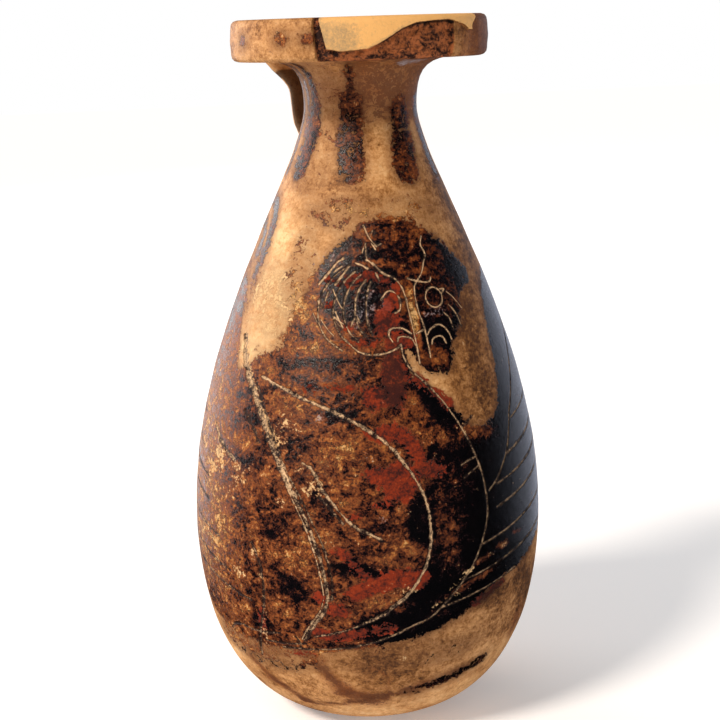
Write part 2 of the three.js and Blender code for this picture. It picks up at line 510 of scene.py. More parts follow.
@dataclass
class Picture:
    """The winged animal with its face to the front, as it was painted and as it has worn."""

    line_width: float = 0.19
    mane_centre: Point = (-23.5, 55.2)
    mane_reaches: tuple[float, ...] = (4.6, 9.3, 14.2, 18.6, 25.5)
    mane_heights: tuple[float, ...] = (3.4, 3.7, 4.4, 4.9, 5.6)
    feather_starts: tuple[Point, ...] = (
        (29.5, 40.2), (24.0, 36.4), (17.0, 33.2), (16.0, 30.4), (8.5, 26.3), (3.0, 22.4), (-6.0, 19.3),
    )
    feather_rise: tuple[Point, ...] = ((0, 0), (8, 0.6), (20, 1.5), (38, 2.7), (58, 3.7), (76, 4.2))
    right_reaches: tuple[float, ...] = (74, 74, 74, 72, 70, 47, 32)
    left_reaches: tuple[float, ...] = (28, 34, 41, 40, 42, 42, 44)
    mirror_azimuth: float = -38.0
    scratch_count: int = 26
    area_depths: tuple[float, float] = (0.75, 1.6)
    head_rise: Point = (51.0, 54.5)
    head_top: float = 68.0
    head_side: Point = (35.0, 12.0)
    black: float = 0.1
    browned: float = 0.41
    browned_head: float = 0.22
    spared: float = 0.75
    chance: np.random.Generator = field(default_factory=lambda: np.random.default_rng(12))

    def face(self) -> list[Incision]:
        """The lines of the face.

        Returns:
            Its incised lines.
        """
        lines = {
            "left side of the nose": (
                (-24.5, 60.4), (-20, 59.2), (-15, 58.6), (-12, 57.7), (-10.5, 56.4), (-10, 55),
                (-9.2, 52.8), (-8.6, 51), (-8.3, 48.8),
            ),
            "right side of the nose": (
                (4.5, 63), (2.7, 62.1), (4, 61), (2, 60), (-0.5, 58.8), (-3.5, 58.1), (-5.5, 57.4),
                (-5.9, 56), (-5.4, 54.4), (-4.3, 53), (-3.8, 51.3), (-3.5, 49.3),
            ),
            "brow": ((-8, 58.4), (-3, 58.0), (1, 57.8), (3.2, 57.9), (4.1, 58.3)),
            "left ear": ((-28.5, 64.6), (-25.5, 63.2), (-22, 62.2)),
            "left eye": (
                (-21.5, 56.2), (-19, 57), (-16.5, 57.1), (-14.2, 56.6), (-13.2, 55.9), (-13.7, 55),
                (-16, 54.6),
            ),
            "corner of the right eye": ((7.8, 56.3), (9.7, 56.8), (6.2, 56.8)),
            "whisker far left": ((-18, 51.4), (-19.4, 52.2), (-18.2, 52.9), (-14, 52.9), (-10, 52.2)),
            "whisker left": ((-16.2, 51.4), (-15.4, 51.9), (-12.5, 51.9), (-10.2, 51.6), (-9, 50.9)),
            "whisker middle": ((-8.2, 52.1), (-5, 52.5)),
            "whisker right": (
                (-3.2, 51.9), (-1.5, 52.5), (2, 52.9), (4.7, 52.6), (6.6, 51.9), (7.5, 51),
            ),
            "whisker low right": ((-2, 50.8), (-1, 51.4), (1.5, 51.6), (3.5, 51.4), (4.4, 50.7)),
            "cheek far right": ((11, 56.4), (13.5, 55.8), (16, 54.9), (17.3, 54.3)),
            "cheek right": ((10, 55), (12, 54.3), (13.5, 53.3), (14, 52.3)),
            "cheek low right": ((6.6, 54.1), (8.8, 53.4), (9.3, 52.1)),
            "jaw": ((-35, 51.3), (-31, 50.4), (-26, 50.05), (-21, 50.2), (-17, 50.6), (-14.8, 51.1)),
        }
        eye = tuple(
            (3.4 + 4.3 * math.cos(turn), 56.0 + 1.15 * math.sin(turn))
            for turn in np.radians(range(0, 360, 45))
        )
        made = [Incision(points, self.line_width, ragged=0.45) for points in lines.values()]
        return [*made, Incision(eye, self.line_width, closed=True)]

    def mane(self) -> list[Incision]:
        """Locks of the mane: arcs round the left cheek, with two short ones at the top.

        Returns:
            Their incised lines.
        """
        azimuth, height = self.mane_centre
        arcs = []
        for reach, rise in zip(self.mane_reaches, self.mane_heights):
            arc = tuple(
                (azimuth + reach * math.cos(turn), height + rise * math.sin(turn))
                for turn in np.radians((118, 140, 165, 190, 215, 236))
            )
            arcs.append(Incision(arc, 0.2, 0.07, 0.34, 0.6))
        tops = (((-50, 57.9), (-46, 59.2), (-42.5, 60.3), (-39, 60.9)), ((-42, 58), (-39, 59), (-36, 60)))
        return arcs + [Incision(top, 0.3, 0.1, 0.6, 0.6) for top in tops]

    def limbs(self) -> list[Incision]:
        """The lines of the breast, the shoulder and the wings' edges.

        Returns:
            Their incised lines.
        """
        breast = (
            (-14.8, 51), (-14.3, 49.6), (-12, 48.1), (-8, 46.8), (-4, 45.3), (0, 43.5), (4, 41.1),
            (7, 38.8), (9.3, 36.5), (10.7, 34.4), (11.5, 32), (11.4, 30), (10.3, 28.2), (8, 26),
            (5, 24), (1, 22), (-3, 20.4), (-6, 19.3), (-10, 18.1), (-15, 17.4), (-22, 16.2),
        )
        hem = ((-22, 16.2), (-30, 15.2), (-40, 14.4), (-50, 14.0), (-60, 13.7))
        shoulder = (
            (-70, 46.9), (-62, 46.2), (-55, 45.4), (-48, 44.6), (-42, 43.9), (-36, 43), (-30, 41.9),
            (-25, 40.7), (-21, 39.4), (-18, 38), (-15, 36.4), (-12, 34.2), (-10.3, 32), (-9.6, 29.5),
            (-9.9, 27.2), (-11.5, 25), (-14, 23.1), (-16.5, 21.8), (-20, 20.6), (-25, 19.1), (-29, 18.4),
        )
        haunch = ((-29, 18.4), (-35, 17.3), (-42, 16.4), (-47, 15.9))
        wing_root = (
            (-85, 51), (-81, 48.4), (-76, 46.3), (-72, 44.9), (-68, 42.9), (-64, 40.6), (-60, 38.3),
            (-56, 36), (-52, 33.4),
        )
        wing = (
            (-54, 34.7), (-50, 32), (-47, 29.7), (-45, 27.5), (-43.4, 25.4), (-42.3, 23), (-42, 21.2),
            (-43.5, 19.4), (-46, 18), (-48.5, 16.6), (-50.5, 15.3),
        )
        wing_twin = (
            (-72, 46.2), (-66, 43.1), (-62, 40.7), (-56, 36.8), (-50, 33.4), (-46, 30.4), (-43, 28),
            (-41.2, 25.5), (-40.3, 23.2), (-40.6, 21),
        )
        leg = (
            (-50, 37.6), (-47, 37), (-45, 36), (-43, 34.6), (-40, 33.2), (-37, 31.8), (-33.5, 30.5),
            (-29, 29.5), (-25, 28.7),
        )
        leg_twin = ((-44, 33.9), (-40, 32.2), (-36.5, 30.6))
        right_edge = (
            (13, 32.7), (17, 33.8), (21, 35.4), (24.5, 37), (27.5, 39), (30, 41), (33, 42.3),
            (37, 44), (42, 46.5), (50, 49.5), (60, 52), (74, 53),
        )
        wing_burr = tuple((azimuth - 1.2, height) for azimuth, height in wing)
        far_scratch = ((-68, 27), (-65, 24.5), (-64, 21), (-66, 17.5), (-69, 14), (-70.5, 11.5))
        rows = (
            (breast, 0.2, 0.09, 0.42, 0.6),
            (hem, 0.2, 0.08, 0.2, 0.7),
            (shoulder, 0.36, 0.13, 0.5, 0.7),
            (haunch, 0.22, 0.06, 0.3, 0.6),
            (wing_root, 0.7, 0.14, 0.5, 0.6),
            (wing, 0.52, 0.16, 0.3, 0.5),
            (wing_burr, 0.16, 0.08, 0.6, 0.9),
            (wing_twin, 0.22, 0.12, 0.25, 0.9),
            (leg, 0.36, 0.12, 0.4, 0.7),
            (leg_twin, 0.35, 0.1, 0.1, 0.5),
            (right_edge, 0.22, 0.09, 0.42, 0.6),
            (((2.5, 36.5), (5.5, 36.9), (9, 37.2)), 0.22, 0.07, 0.3),
            (((3, 35), (6, 35.5), (9.8, 36.1)), 0.22, 0.07, 0.2),
            (((5, 40.9), (7, 41.3), (9.5, 41.9)), 0.22, 0.07, 0.2),
            (((-75, 42.6), (-71, 41.1), (-67, 39.3)), 0.45, 0.12, 0.0, 0.6),
            (((-92, 39.6), (-84, 37.6), (-77, 36.4)), 0.4, 0.1, 0.5, 0.7),
            (far_scratch, 0.3, 0.1, 0.15, 0.9),
            (((-84, 14), (-81, 14.9), (-77, 15.2), (-70, 15.1), (-60, 15.6)), 0.25, 0.07, 0.1),
            (((-66, 14.1), (-58, 14.3), (-50.5, 14.7)), 0.25, 0.07, 0.0),
            (((-54, 15.5), (-52.6, 14.9), (-52.4, 14.1)), 0.28, 0.08, 0.0),
        )
        return [Incision(*row) for row in rows]

    def feathers(self) -> list[Incision]:
        """The long feathers of both wings: one run of arcs, and the same ones mirrored and worn.

        Returns:
            Their incised lines.
        """
        made = []
        rise = np.array(self.feather_rise)
        for start, right, left in zip(self.feather_starts, self.right_reaches, self.left_reaches):
            for side, reach, depth, cream in ((1, right, 0.08, 0.42), (-1, left, 0.05, 0.2)):
                root = start[0] if side > 0 else 2 * self.mirror_azimuth - start[0]
                along = reach * np.linspace(0, 1, 7)
                heights = start[1] + np.interp(along, rise[:, 0], rise[:, 1])
                points = tuple(zip(root + side * along, heights))
                made.append(Incision(points, self.line_width, depth, cream, 0.75))
        return made

    def scratches(self) -> list[Incision]:
        """Short scratches that follow the mane's locks and the top of the head.

        Returns:
            Their incised lines.
        """
        azimuth, height = self.mane_centre
        made = []
        for _ in range(self.scratch_count):
            across, up, round_head, long, leaning = self.chance.random(5)
            reach = 8 + 20 * across
            rise = 3.6 + 5.2 * up
            turn = math.radians(75 + 130 * round_head)
            length = 0.03 + 0.07 * long
            slant = 3 * (leaning - 0.5)
            points = tuple(
                (azimuth + (reach + 20 * slant * step) * math.cos(turn + step),
                 height + (rise + 4 * slant * step) * math.sin(turn + 1.3 * step))
                for step in (-length, 0, length)
            )
            made.append(Incision(points, 0.11 + 0.08 * leaning, 0.05, 0.2 + 0.5 * long, 0.8))
        return made

    @cached_property
    def lines(self) -> list[Incision]:
        """Every line that is cut."""
        return [*self.face(), *self.mane(), *self.limbs(), *self.feathers(), *self.scratches()]

    def painted_areas(self) -> tuple[tuple[Point, ...], ...]:
        """Outlines of what was painted in slip: the head, and the body with its wings.

        Returns:
            For each area the corners of its outline.
        """
        head = (
            (-62, 50), (-59, 55), (-52, 59.3), (-43, 62.3), (-32, 64.4), (-20, 65.5), (-8, 65.2), (4, 64.3),
            (14, 63), (22, 61), (30, 58.3), (27, 56.8), (20, 56.2), (16, 54.3), (13, 52.2), (8, 50.6),
            (6.5, 48.9), (2.5, 47.5), (-5, 47.6), (-9, 49.4), (-13, 50.4), (-20, 49), (-40, 48),
        )
        body = (
            (-134, 48), (-125, 52), (-108, 57.5), (-97, 56), (-90, 51), (-84, 47.3), (-72, 49.3),
            (-62, 50.5), (-45, 51.5), (-30, 50.8), (-14.6, 51), (-12, 47.8), (-6, 46.4), (0.5, 43.9),
            (8, 41.2), (17, 40.7),
            (24, 42.8), (28.2, 46.5), (30.5, 50), (33.5, 53.5), (39, 56), (52, 57.5), (72, 56), (96, 51),
            (109, 47), (105, 44.6), (109, 42.7), (101, 40.8), (105, 38.9), (94, 37.6), (101, 36), (93, 34.6),
            (97, 32.4), (85, 30.6), (86, 28.7), (75, 27.8), (60, 26.7), (45, 24), (30, 22), (20, 21.3),
            (12, 20.2), (5, 18.4), (0, 17.4), (-10, 15.9), (-25, 15), (-45, 14), (-70, 13.4), (-95, 14.5),
            (-106, 17), (-116, 20.4), (-114.5, 22.2), (-125, 23.8), (-121.5, 25.3), (-132, 27.4),
            (-127, 29.2), (-138, 31.4), (-132.5, 33.2), (-141, 34.8), (-134.5, 36), (-142, 37.6),
            (-134.5, 38.9), (-142, 40.8), (-134, 42.4), (-141, 44.8),
        )
        return head, body

    def worn_area(self) -> tuple[Point, ...]:
        """Outline of the part where the slip has turned brown and come off in flakes.

        Returns:
            The corners of the outline.
        """
        return (
            (-16, 52), (-13.5, 47), (-6, 42.9), (-8, 40.5), (-8.5, 38), (-7, 36.4), (-10.5, 34.5),
            (-16, 32.3), (-17, 30.2), (-14.5, 28.3), (-10.3, 27.2), (-11, 25.6), (-15, 23.8), (-15.5, 22.3),
            (-19, 21), (-25, 19.6), (-33, 18.2), (-32, 16.4), (-26, 14), (-60, 11), (-100, 11), (-145, 16),
            (-145, 60), (-110, 62), (-70, 58), (-52, 57), (-40, 54),
        )

    def painted(self, spot: Unrolled) -> np.ndarray:
        """How deep each point lies in the painted areas, in millimetres, or among their last flecks.

        Args:
            spot: The points.

        Returns:
            A depth for each point, below 0 outside them.
        """
        areas = [
            np.minimum(spot.into_area(drawn(area, True, 5), 3.0), most)
            for area, most in zip(self.painted_areas(), self.area_depths)
        ]
        flecks = [np.minimum(spot.depth_in((patch,)), patch.weight) for patch in self.residue()]
        return np.maximum.reduce([*areas, *flecks])

    def wear(self, spot: Unrolled) -> np.ndarray:
        """How far the slip has burnt and worn at each point, from 0, black, to 1, pale tan.

        Args:
            spot: The points.

        Returns:
            A value for each point.
        """
        worn = smooth(spot.into_area(drawn(self.worn_area(), True, 4), 3.0), -0.8, 0.9)
        head = smooth(spot.height, *self.head_rise) * (spot.height < self.head_top)
        head *= smooth(spot.azimuth, *self.head_side)
        level = self.black + self.browned * worn * (1 - self.spared * head) + self.browned_head * head
        return level + spot.cover(self.burn())

    def residue(self) -> tuple[Patch, ...]:
        """Where only flecks of slip are left; the weight is how deep the slip's layer counts there.

        Returns:
            The marks.
        """
        return patches(
            (-74, 54.5, 15, 5, -0.5), (-61, 57, 8, 6, -0.3), (-100, 58, 14, 5, -0.3),
            (-22, 65.9, 34, 1.8, -0.3), (-14, 47.5, 8, 4, -0.42), (-70, 12.4, 22, 2.4, -0.16),
            (-30, 13.2, 30, 1.6, -0.42), (-70, 76, 24, 7, -0.48),
        )

    def burn(self) -> Marks:
        """Where the slip has worn lighter or kept its black, on top of the two main areas.

        Returns:
            The marks.
        """
        return (
            Streak(((6, 24), (14, 25), (25, 25.9), (35, 26.6)), 0.4, 0.4),
            Streak(((-8, 20.2), (0, 21.2), (8, 22.2), (16, 22.8)), 0.4, 0.4),
            *patches(
                (-104, 32, 27, 17, 0.2), (-80, 22, 16, 9, 0.05), (-22, 66.5, 40, 1.4, 0.3),
                (-60, 57.5, 8, 6, 0.2), (-37, 38.3, 11, 2.6, 0.14), (-20, 27.4, 8, 1.4, 0.08),
                (-55, 44.5, 12, 1.5, 0.1), (-42, 52.3, 11, 2.2, 0.04), (-53, 55.5, 6, 3.6, 0.12),
                (-3, 33, 9, 8, 0.2), (9, 40, 11, 1.6, 0.3), (-4, 26, 6, 4, 0.14), (-6, 18.6, 8, 1.2, 0.14),
                (-22, 60.2, 13, 0.6, 0.16), (-3, 59.3, 9, 0.5, 0.14), (-28, 63.6, 12, 0.8, 0.2),
                (0, 63.3, 12, 0.8, 0.2), (-7.9, 53.6, 2.0, 4.6, 0.5), (-1, 49.2, 6, 1.7, 0.42),
                (-12.5, 56.4, 3, 1.8, 0.26), (-4, 40.4, 3, 1.2, 0.3), (9, 40.5, 4, 0.9, 0.28),
                (-20, 20.2, 6, 0.9, 0.34), (-13, 16.9, 12, 0.5, 0.1), (-46, 49.2, 14, 0.8, -0.24),
                (-60, 48.4, 5, 0.6, -0.2), (-52, 46.8, 9, 0.6, -0.16), (-36, 43.4, 9, 0.6, -0.14),
                (-50, 21.5, 10, 1.6, -0.18), (-56, 23.4, 6, 0.6, -0.2), (-60, 29, 6, 1.2, -0.16, -30),
                (-29, 24.8, 9, 0.8, -0.32), (-36, 25.6, 4, 0.5, -0.3), (-23, 32.9, 2.4, 0.5, -0.5),
                (-26, 29.9, 6, 0.6, -0.24), (-42, 32.4, 6, 1.0, -0.2, -28), (-71, 20.4, 2.4, 0.6, -0.3),
                (-66, 16.5, 6, 1.6, -0.2), (-80, 41, 8, 1.2, -0.16), (-70, 36.6, 6, 0.8, -0.25),
            ),
        )

    def red(self) -> Marks:
        """Where added red still lies over the slip.

        Returns:
            The marks.
        """
        return (
            Streak(((-46, 58.7), (-38, 58.2), (-32, 58.7), (-25, 58.8), (-18, 58.3), (-14, 57.2)), 0.5),
            Streak(((-11.5, 47.4), (-7, 46.2), (-3, 45), (0.6, 43.9)), 0.62),
            Streak(((-24, 41.2), (-19, 41), (-14, 39.6), (-12, 38.2)), 0.95),
            Streak(((-34, 31.4), (-30, 32.2), (-25, 33), (-18, 33.4)), 0.3),
            Streak(((-39, 27.2), (-36, 27), (-33.8, 26), (-31.8, 24.9), (-29.6, 24.3)), 0.6),
            Streak(((-34, 21.8), (-27, 23), (-20, 23.8), (-13, 23.4)), 1.1),
            Streak(((-47, 16.8), (-40, 16.0), (-30, 16.9), (-22, 17.4)), 0.65),
            Streak(((6, 18.6), (12, 19.5), (19, 20.6)), 0.55),
            *patches(
                (-17.2, 55.9, 3.6, 0.95), (-20, 53.6, 6.5, 1.5, 1, 24), (-15, 51.4, 7, 0.9),
                (-28, 51.5, 7, 0.55), (-44, 55.6, 1.6, 0.4), (-36.5, 53.1, 1.8, 0.35),
                (-18.6, 47.2, 4.6, 3.6), (-26, 45.2, 4.4, 1.4), (-36, 46.4, 5, 0.4),
                (-48.6, 46.2, 2, 0.55), (-28, 41.1, 1.6, 0.45), (-18.6, 35.5, 6, 2.5), (-25, 36.4, 6, 1.1),
                (-9, 36.5, 6.4, 1.0), (-44.6, 21.2, 1.9, 0.7), (-38.6, 19.6, 3.8, 1.0),
                (-53, 13.2, 2.6, 0.35), (-66, 17, 1.6, 1.4),
            ),
        )

    def bloom_and_sheen(self) -> Marks:
        """Where a grey or whitish bloom lies on the slip, partly a painted sheen on the glossy black.

        Returns:
            The marks.
        """
        return (
            Streak(((-45, 42.6), (-38, 43.2)), 0.8, 0.4),
            *patches(
                (-48, 60.5, 8, 1.5, 0.42), (2, 54.2, 7, 1.0, 0.45), (-27, 55.6, 8, 2.1, 0.5),
                (-19, 55.5, 2.2, 0.8, 0.8), (-33, 53.3, 3, 1.6, 0.4), (12, 83.5, 15, 0.45, 0.9),
                (-28.5, 38.7, 2, 0.6, 0.6), (-24.5, 30.8, 2, 0.6, 0.7), (-23, 36.4, 2.2, 0.5, 0.5),
                (-22, 44.8, 3.4, 1.2, 0.35), (-9, 36.3, 2, 0.3, 0.7),
            ),
        )

    def cream(self) -> Marks:
        """Scraped and flaked streaks that show the pale clay.

        Returns:
            The marks.
        """
        return (
            Streak(((-84, 50.4), (-78, 47.6), (-72, 45), (-66, 42.2), (-60, 39.4)), 0.55, 0.9),
            Streak(((-86, 51), (-85, 48), (-84, 45.5)), 0.5, 0.4),
            Streak(((-8, 20.8), (-2, 21.8), (5, 23.7)), 0.32, 0.6),
            Streak(((-12, 19.1), (-4, 20.4), (2, 20.8)), 0.3, 0.6),
            Streak(((10, 24.3), (18, 25.2), (26, 25.8)), 0.25, 0.5),
            Streak(((-68, 26), (-64, 22), (-65, 17), (-67, 13.5)), 0.4, 0.5),
            *patches(
                (-18, 12.6, 4, 0.9, 0.5), (6, 40.6, 5, 0.8, 0.4), (-57, 41, 7, 2.4, 0.5),
                (-78, 34.6, 10, 3.0, 0.45), (-96, 36, 9, 6, 0.36), (-92, 24, 8, 6, 0.24),
                (-86, 38, 6, 1.4, 0.4), (-46, 34.7, 4, 1.2, 0.75), (-57, 32.7, 2.4, 0.9, 0.6),
                (-50, 36.6, 3, 0.7, 0.6), (-35, 28.6, 9, 1.2, 0.3), (-74, 22.6, 4, 0.8, 0.6, -20),
                (-18, 22, 4, 0.6, 0.5), (-14, 28.2, 3, 0.8, 0.3), (-78, 56, 12, 5, 0.75),
                (-64, 53, 8, 3, 0.4), (-47, 59.6, 6, 1.2, 0.35),
            ),
        )


@dataclass(frozen=True)
class Ornament:
    """What is painted round the picture: tongues on the shoulder, a band, dots and a tail's curl.

    A pair that ends in rise or side says where something starts and where it is whole, as heights
    in millimetres or azimuths in degrees. A worn pair holds a height and how far slip past it has worn.
    """

    tongue_foot: float = 69.6
    tongue_top: float = 83.2
    tongue_width: float = 1.35
    band_height: float = 7.2
    band_half_width: float = 0.62
    mark_depth: float = 0.36
    petals: int = 14
    petal_half_width: float = 1.5
    petal_ends: Point = (5.6, 13.6)
    dot_height: float = 2.6
    # The band on the upper neck is partly stain and partly the disc's painted shadow, stronger to the right.
    neck_stain_and_shadow: float = 0.85
    neck_stain_and_shadow_least: float = 0.45
    neck_stain_and_shadow_rise: Point = (75.4, 77.2)
    neck_stain_and_shadow_side: Point = (-75.0, -20.0)
    disc_stain: Point = (0.24, 0.6)
    disc_stain_side: Point = (10.0, 40.0)
    back_fade: Point = (165.0, 95.0)
    worn_neck: Point = (67.0, 0.4)
    worn_foot: Point = (11.0, 0.22)
    worn_disc: float = 0.5
    worn_petals: float = 0.55
    worn_back: float = 0.15
    dot_azimuths: tuple[float, ...] = (-117, -89.5, -63.2, -51, 54, 80, 106, 132, 158, -170, -144)

    def tongues(self) -> tuple[Streak, ...]:
        """The tongues that hang from the neck on to the shoulder.

        Returns:
            The marks.
        """
        top, foot, width = self.tongue_top, self.tongue_foot, self.tongue_width
        shown = (
            Streak(((-110, top), (-108, 78), (-106, 73), (-106, 70.5)), 0.5),
            Streak(((-97, top), (-93, 79), (-91, 75), (-93, 71)), 0.28),
            Streak(((-83, top), (-80, 78.5), (-78, 76)), 0.55),
            Streak(((-79, 77.5), (-80, 74), (-84.5, foot + 1.1)), 1.2),
            Streak(((-38, top), (-38, 81), (-39, 78.8)), 0.42),
            Streak(((-39, 79), (-38.5, 75), (-37.5, foot + 1.3)), width),
            Streak(((-38.5, 75), (-37.5, foot + 1.7)), width * 1.25),
            Streak(((14, 78), (11, 75), (8, foot + 0.9)), width * 1.08),
            Streak(((11, 74), (7, foot + 1.1)), width * 1.3),
            Streak(((46, 79), (44, 74), (44, 70)), 0.9),
        )
        hidden = tuple(
            Streak(((azimuth, 79), (azimuth + 1, 74), (azimuth, foot + 1.4)), 1.15)
            for azimuth in (86, 126, -146)
        )
        return (*shown, *hidden)

    def bands(self) -> Marks:
        """The band round the foot, which is brown where it has worn, and a curl on the left.

        Returns:
            The marks.
        """
        low = self.band_height
        right = ((-3, low + 1.1), (6, low + 1.8), (12, low + 2.2), (16.5, low + 2.5))
        return (
            Streak(((-16.2, low + 0.2), (-10, low + 0.4), (-2.2, low + 1)), 0.28),
            Streak(right, self.band_half_width),
            Streak(((-118, 66.4), (-108, 66.9), (-98, 66), (-92.5, 63.5), (-92, 60.5), (-94, 58.3)), 0.7),
            Streak(((-120, 63.4), (-112, 64.2), (-104, 63.4), (-99, 61.8)), 0.5),
            Patch(-101, 61, 4.5, 1.1),
        )

    def worn_band(self) -> Marks:
        """What the band and other marks have left as brown stains.

        Returns:
            The marks.
        """
        low = self.band_height
        front = (
            (-60, low - 2.6), (-46, low - 2.2), (-37.5, low - 1.6), (-27.5, low - 0.9), (-16.5, low + 0.4),
            (-6.8, low + 1.4), (1.5, low + 1.9), (10, low + 2.5),
        )
        back = ((24, low + 1), (60, low), (110, low), (170, low), (-150, low), (-120, low - 0.5))
        ring = ((-30.8, 11.1), (-28, 11.7), (-24.5, 11), (-22.2, 9.5), (-22.8, 7.8), (-25.5, 6.7))
        return (
            Streak(front, 0.5, 0.85),
            Streak(back, 0.6, 0.35),
            Streak(((-51, 14), (-47.5, 12), (-44.2, 10.3), (-38.8, 8), (-31.5, 6.4), (-25, 5.8)), 1.5, 0.62),
            Streak(((-47, 11.6), (-42, 9.2), (-36, 7.2)), 0.6, 0.3),
            Streak(ring, 0.28, 0.5),
            Streak(((-79, 10.4), (-74.2, 8.9), (-71, 7.9), (-64, 6.3), (-57, 4.8)), 0.7, 0.75),
            *patches(
                (-26.5, 9, 4, 2.2, 0.22), (-72, 12.4, 14, 1.5, 0.5), (-56, 13, 8, 1.0, 0.3),
                (35, 13, 5, 3.4, 0.7), (-60, 4.9, 4, 0.35, 0.6),
            ),
        )

    def clouds_light_and_shade(self) -> tuple[Patch, ...]:
        """Where the bare clay is paler or darker than its middle tone: kiln clouds, with painted light on
        the left shoulder and painted shade on the right side.

        Returns:
            The marks.
        """
        return patches(
            (-72, 66, 30, 10, 0.16), (-76, 54, 14, 6, 0.3), (-84, 62, 22, 6, 0.1), (-24, 69, 22, 4, -0.08),
            (-62, 73, 30, 3, 0.12), (-5, 69, 40, 5, 0.05), (36, 66, 26, 10, -0.25), (17, 48, 15, 8, -0.3),
            (-3, 46.3, 5, 2, 0.2), (32, 17, 18, 6, -0.34), (-19, 47.5, 5.5, 4.2, -0.4), (-18, 23, 9, 2, -0.1),
            (12, 19.5, 10, 1.6, -0.5), (-20, 4, 60, 2, 0.16), (-96, 12, 24, 5, 0.12), (-5, 12, 34, 3.5, -0.1),
            (-56, 9.5, 16, 4, 0.14),
        )

    def rosette(self, azimuth: float, height: float) -> tuple[Patch, ...]:
        """A filling ornament of a dot in a ring of dots.

        Args:
            azimuth: Its middle's azimuth.
            height: Its middle's height.

        Returns:
            Its dots.
        """
        ring = tuple(
            Patch(azimuth + 9 * math.cos(turn), height + 3.2 * math.sin(turn), 2.4, 0.9)
            for turn in np.radians(range(0, 360, 60))
        )
        return (Patch(azimuth, height, 3.2, 1.2), *ring)

    def fillers(self) -> tuple[Patch, ...]:
        """The filling ornaments at the back, under the handle."""
        return (*self.rosette(164, 52), *self.rosette(-172, 37), *self.rosette(148, 30))


    def painted(self, spot: Unrolled, underside: float) -> np.ndarray:
        """How deep each point lies in the ornaments.

        Args:
            spot: The points.
            underside: Height of the disc's underside.

        Returns:
            A depth in millimetres for each point, below 0 outside the ornaments.
        """
        marks = (*self.tongues(), *self.bands(), *self.fillers())
        dots = patches(*((azimuth, underside + self.dot_height, 2.6, 0.6) for azimuth in self.dot_azimuths))
        return np.where(spot.on_disc, spot.depth_in(dots), np.minimum(spot.depth_in(marks), self.mark_depth))

    def petal_ring(self, spot: Unrolled) -> np.ndarray:
        """How deep each point lies in the tongues round the mouth, on top of the disc.

        Args:
            spot: The points.

        Returns:
            A depth in millimetres for each point, below 0 outside them.
        """
        step = 360 / self.petals
        off = np.abs((spot.azimuth + step / 2) % step - step / 2) * np.radians(spot.radius)
        inner, outer = self.petal_ends
        along = np.minimum(spot.radius - inner, outer - spot.radius)
        return np.minimum(self.petal_half_width - off, along)

    def wear(self, spot: Unrolled, level: np.ndarray) -> np.ndarray:
        """How far the slip has worn, also where there is no picture.

        Args:
            spot: The points.
            level: How far it has worn in the picture.

        Returns:
            A value for each point, from 0, black, to 1, pale tan.
        """
        for outside, (limit, worn) in (
            (spot.height > self.worn_neck[0], self.worn_neck),
            (spot.height < self.worn_foot[0], self.worn_foot),
        ):
            level = np.where(outside, worn, level)
        back = smooth(np.abs(spot.about(180) - 180), 60, 20) * ~spot.on_disc
        return np.where(spot.on_disc, self.worn_disc, level) + self.worn_back * back

    def stain_and_shadow(self, spot: Unrolled) -> np.ndarray:
        """How brown the clay is stained: on the neck, round the foot and on the disc's right half. On the
        upper neck the brown is partly the disc's painted shadow.

        Args:
            spot: The points.

        Returns:
            A value for each point, from 0 upwards.
        """
        round_back = smooth(spot.azimuth, *self.back_fade)
        side = smooth(spot.azimuth, *self.neck_stain_and_shadow_side) * round_back
        # Partly painted shadow: the band on the upper neck, under the disc.
        neck = self.neck_stain_and_shadow * smooth(spot.height, *self.neck_stain_and_shadow_rise)
        neck *= self.neck_stain_and_shadow_least + (1 - self.neck_stain_and_shadow_least) * side
        least, more = self.disc_stain
        disc = least + more * smooth(spot.azimuth, *self.disc_stain_side) * round_back
        return np.where(spot.on_disc, disc, neck + spot.cover(self.worn_band()))


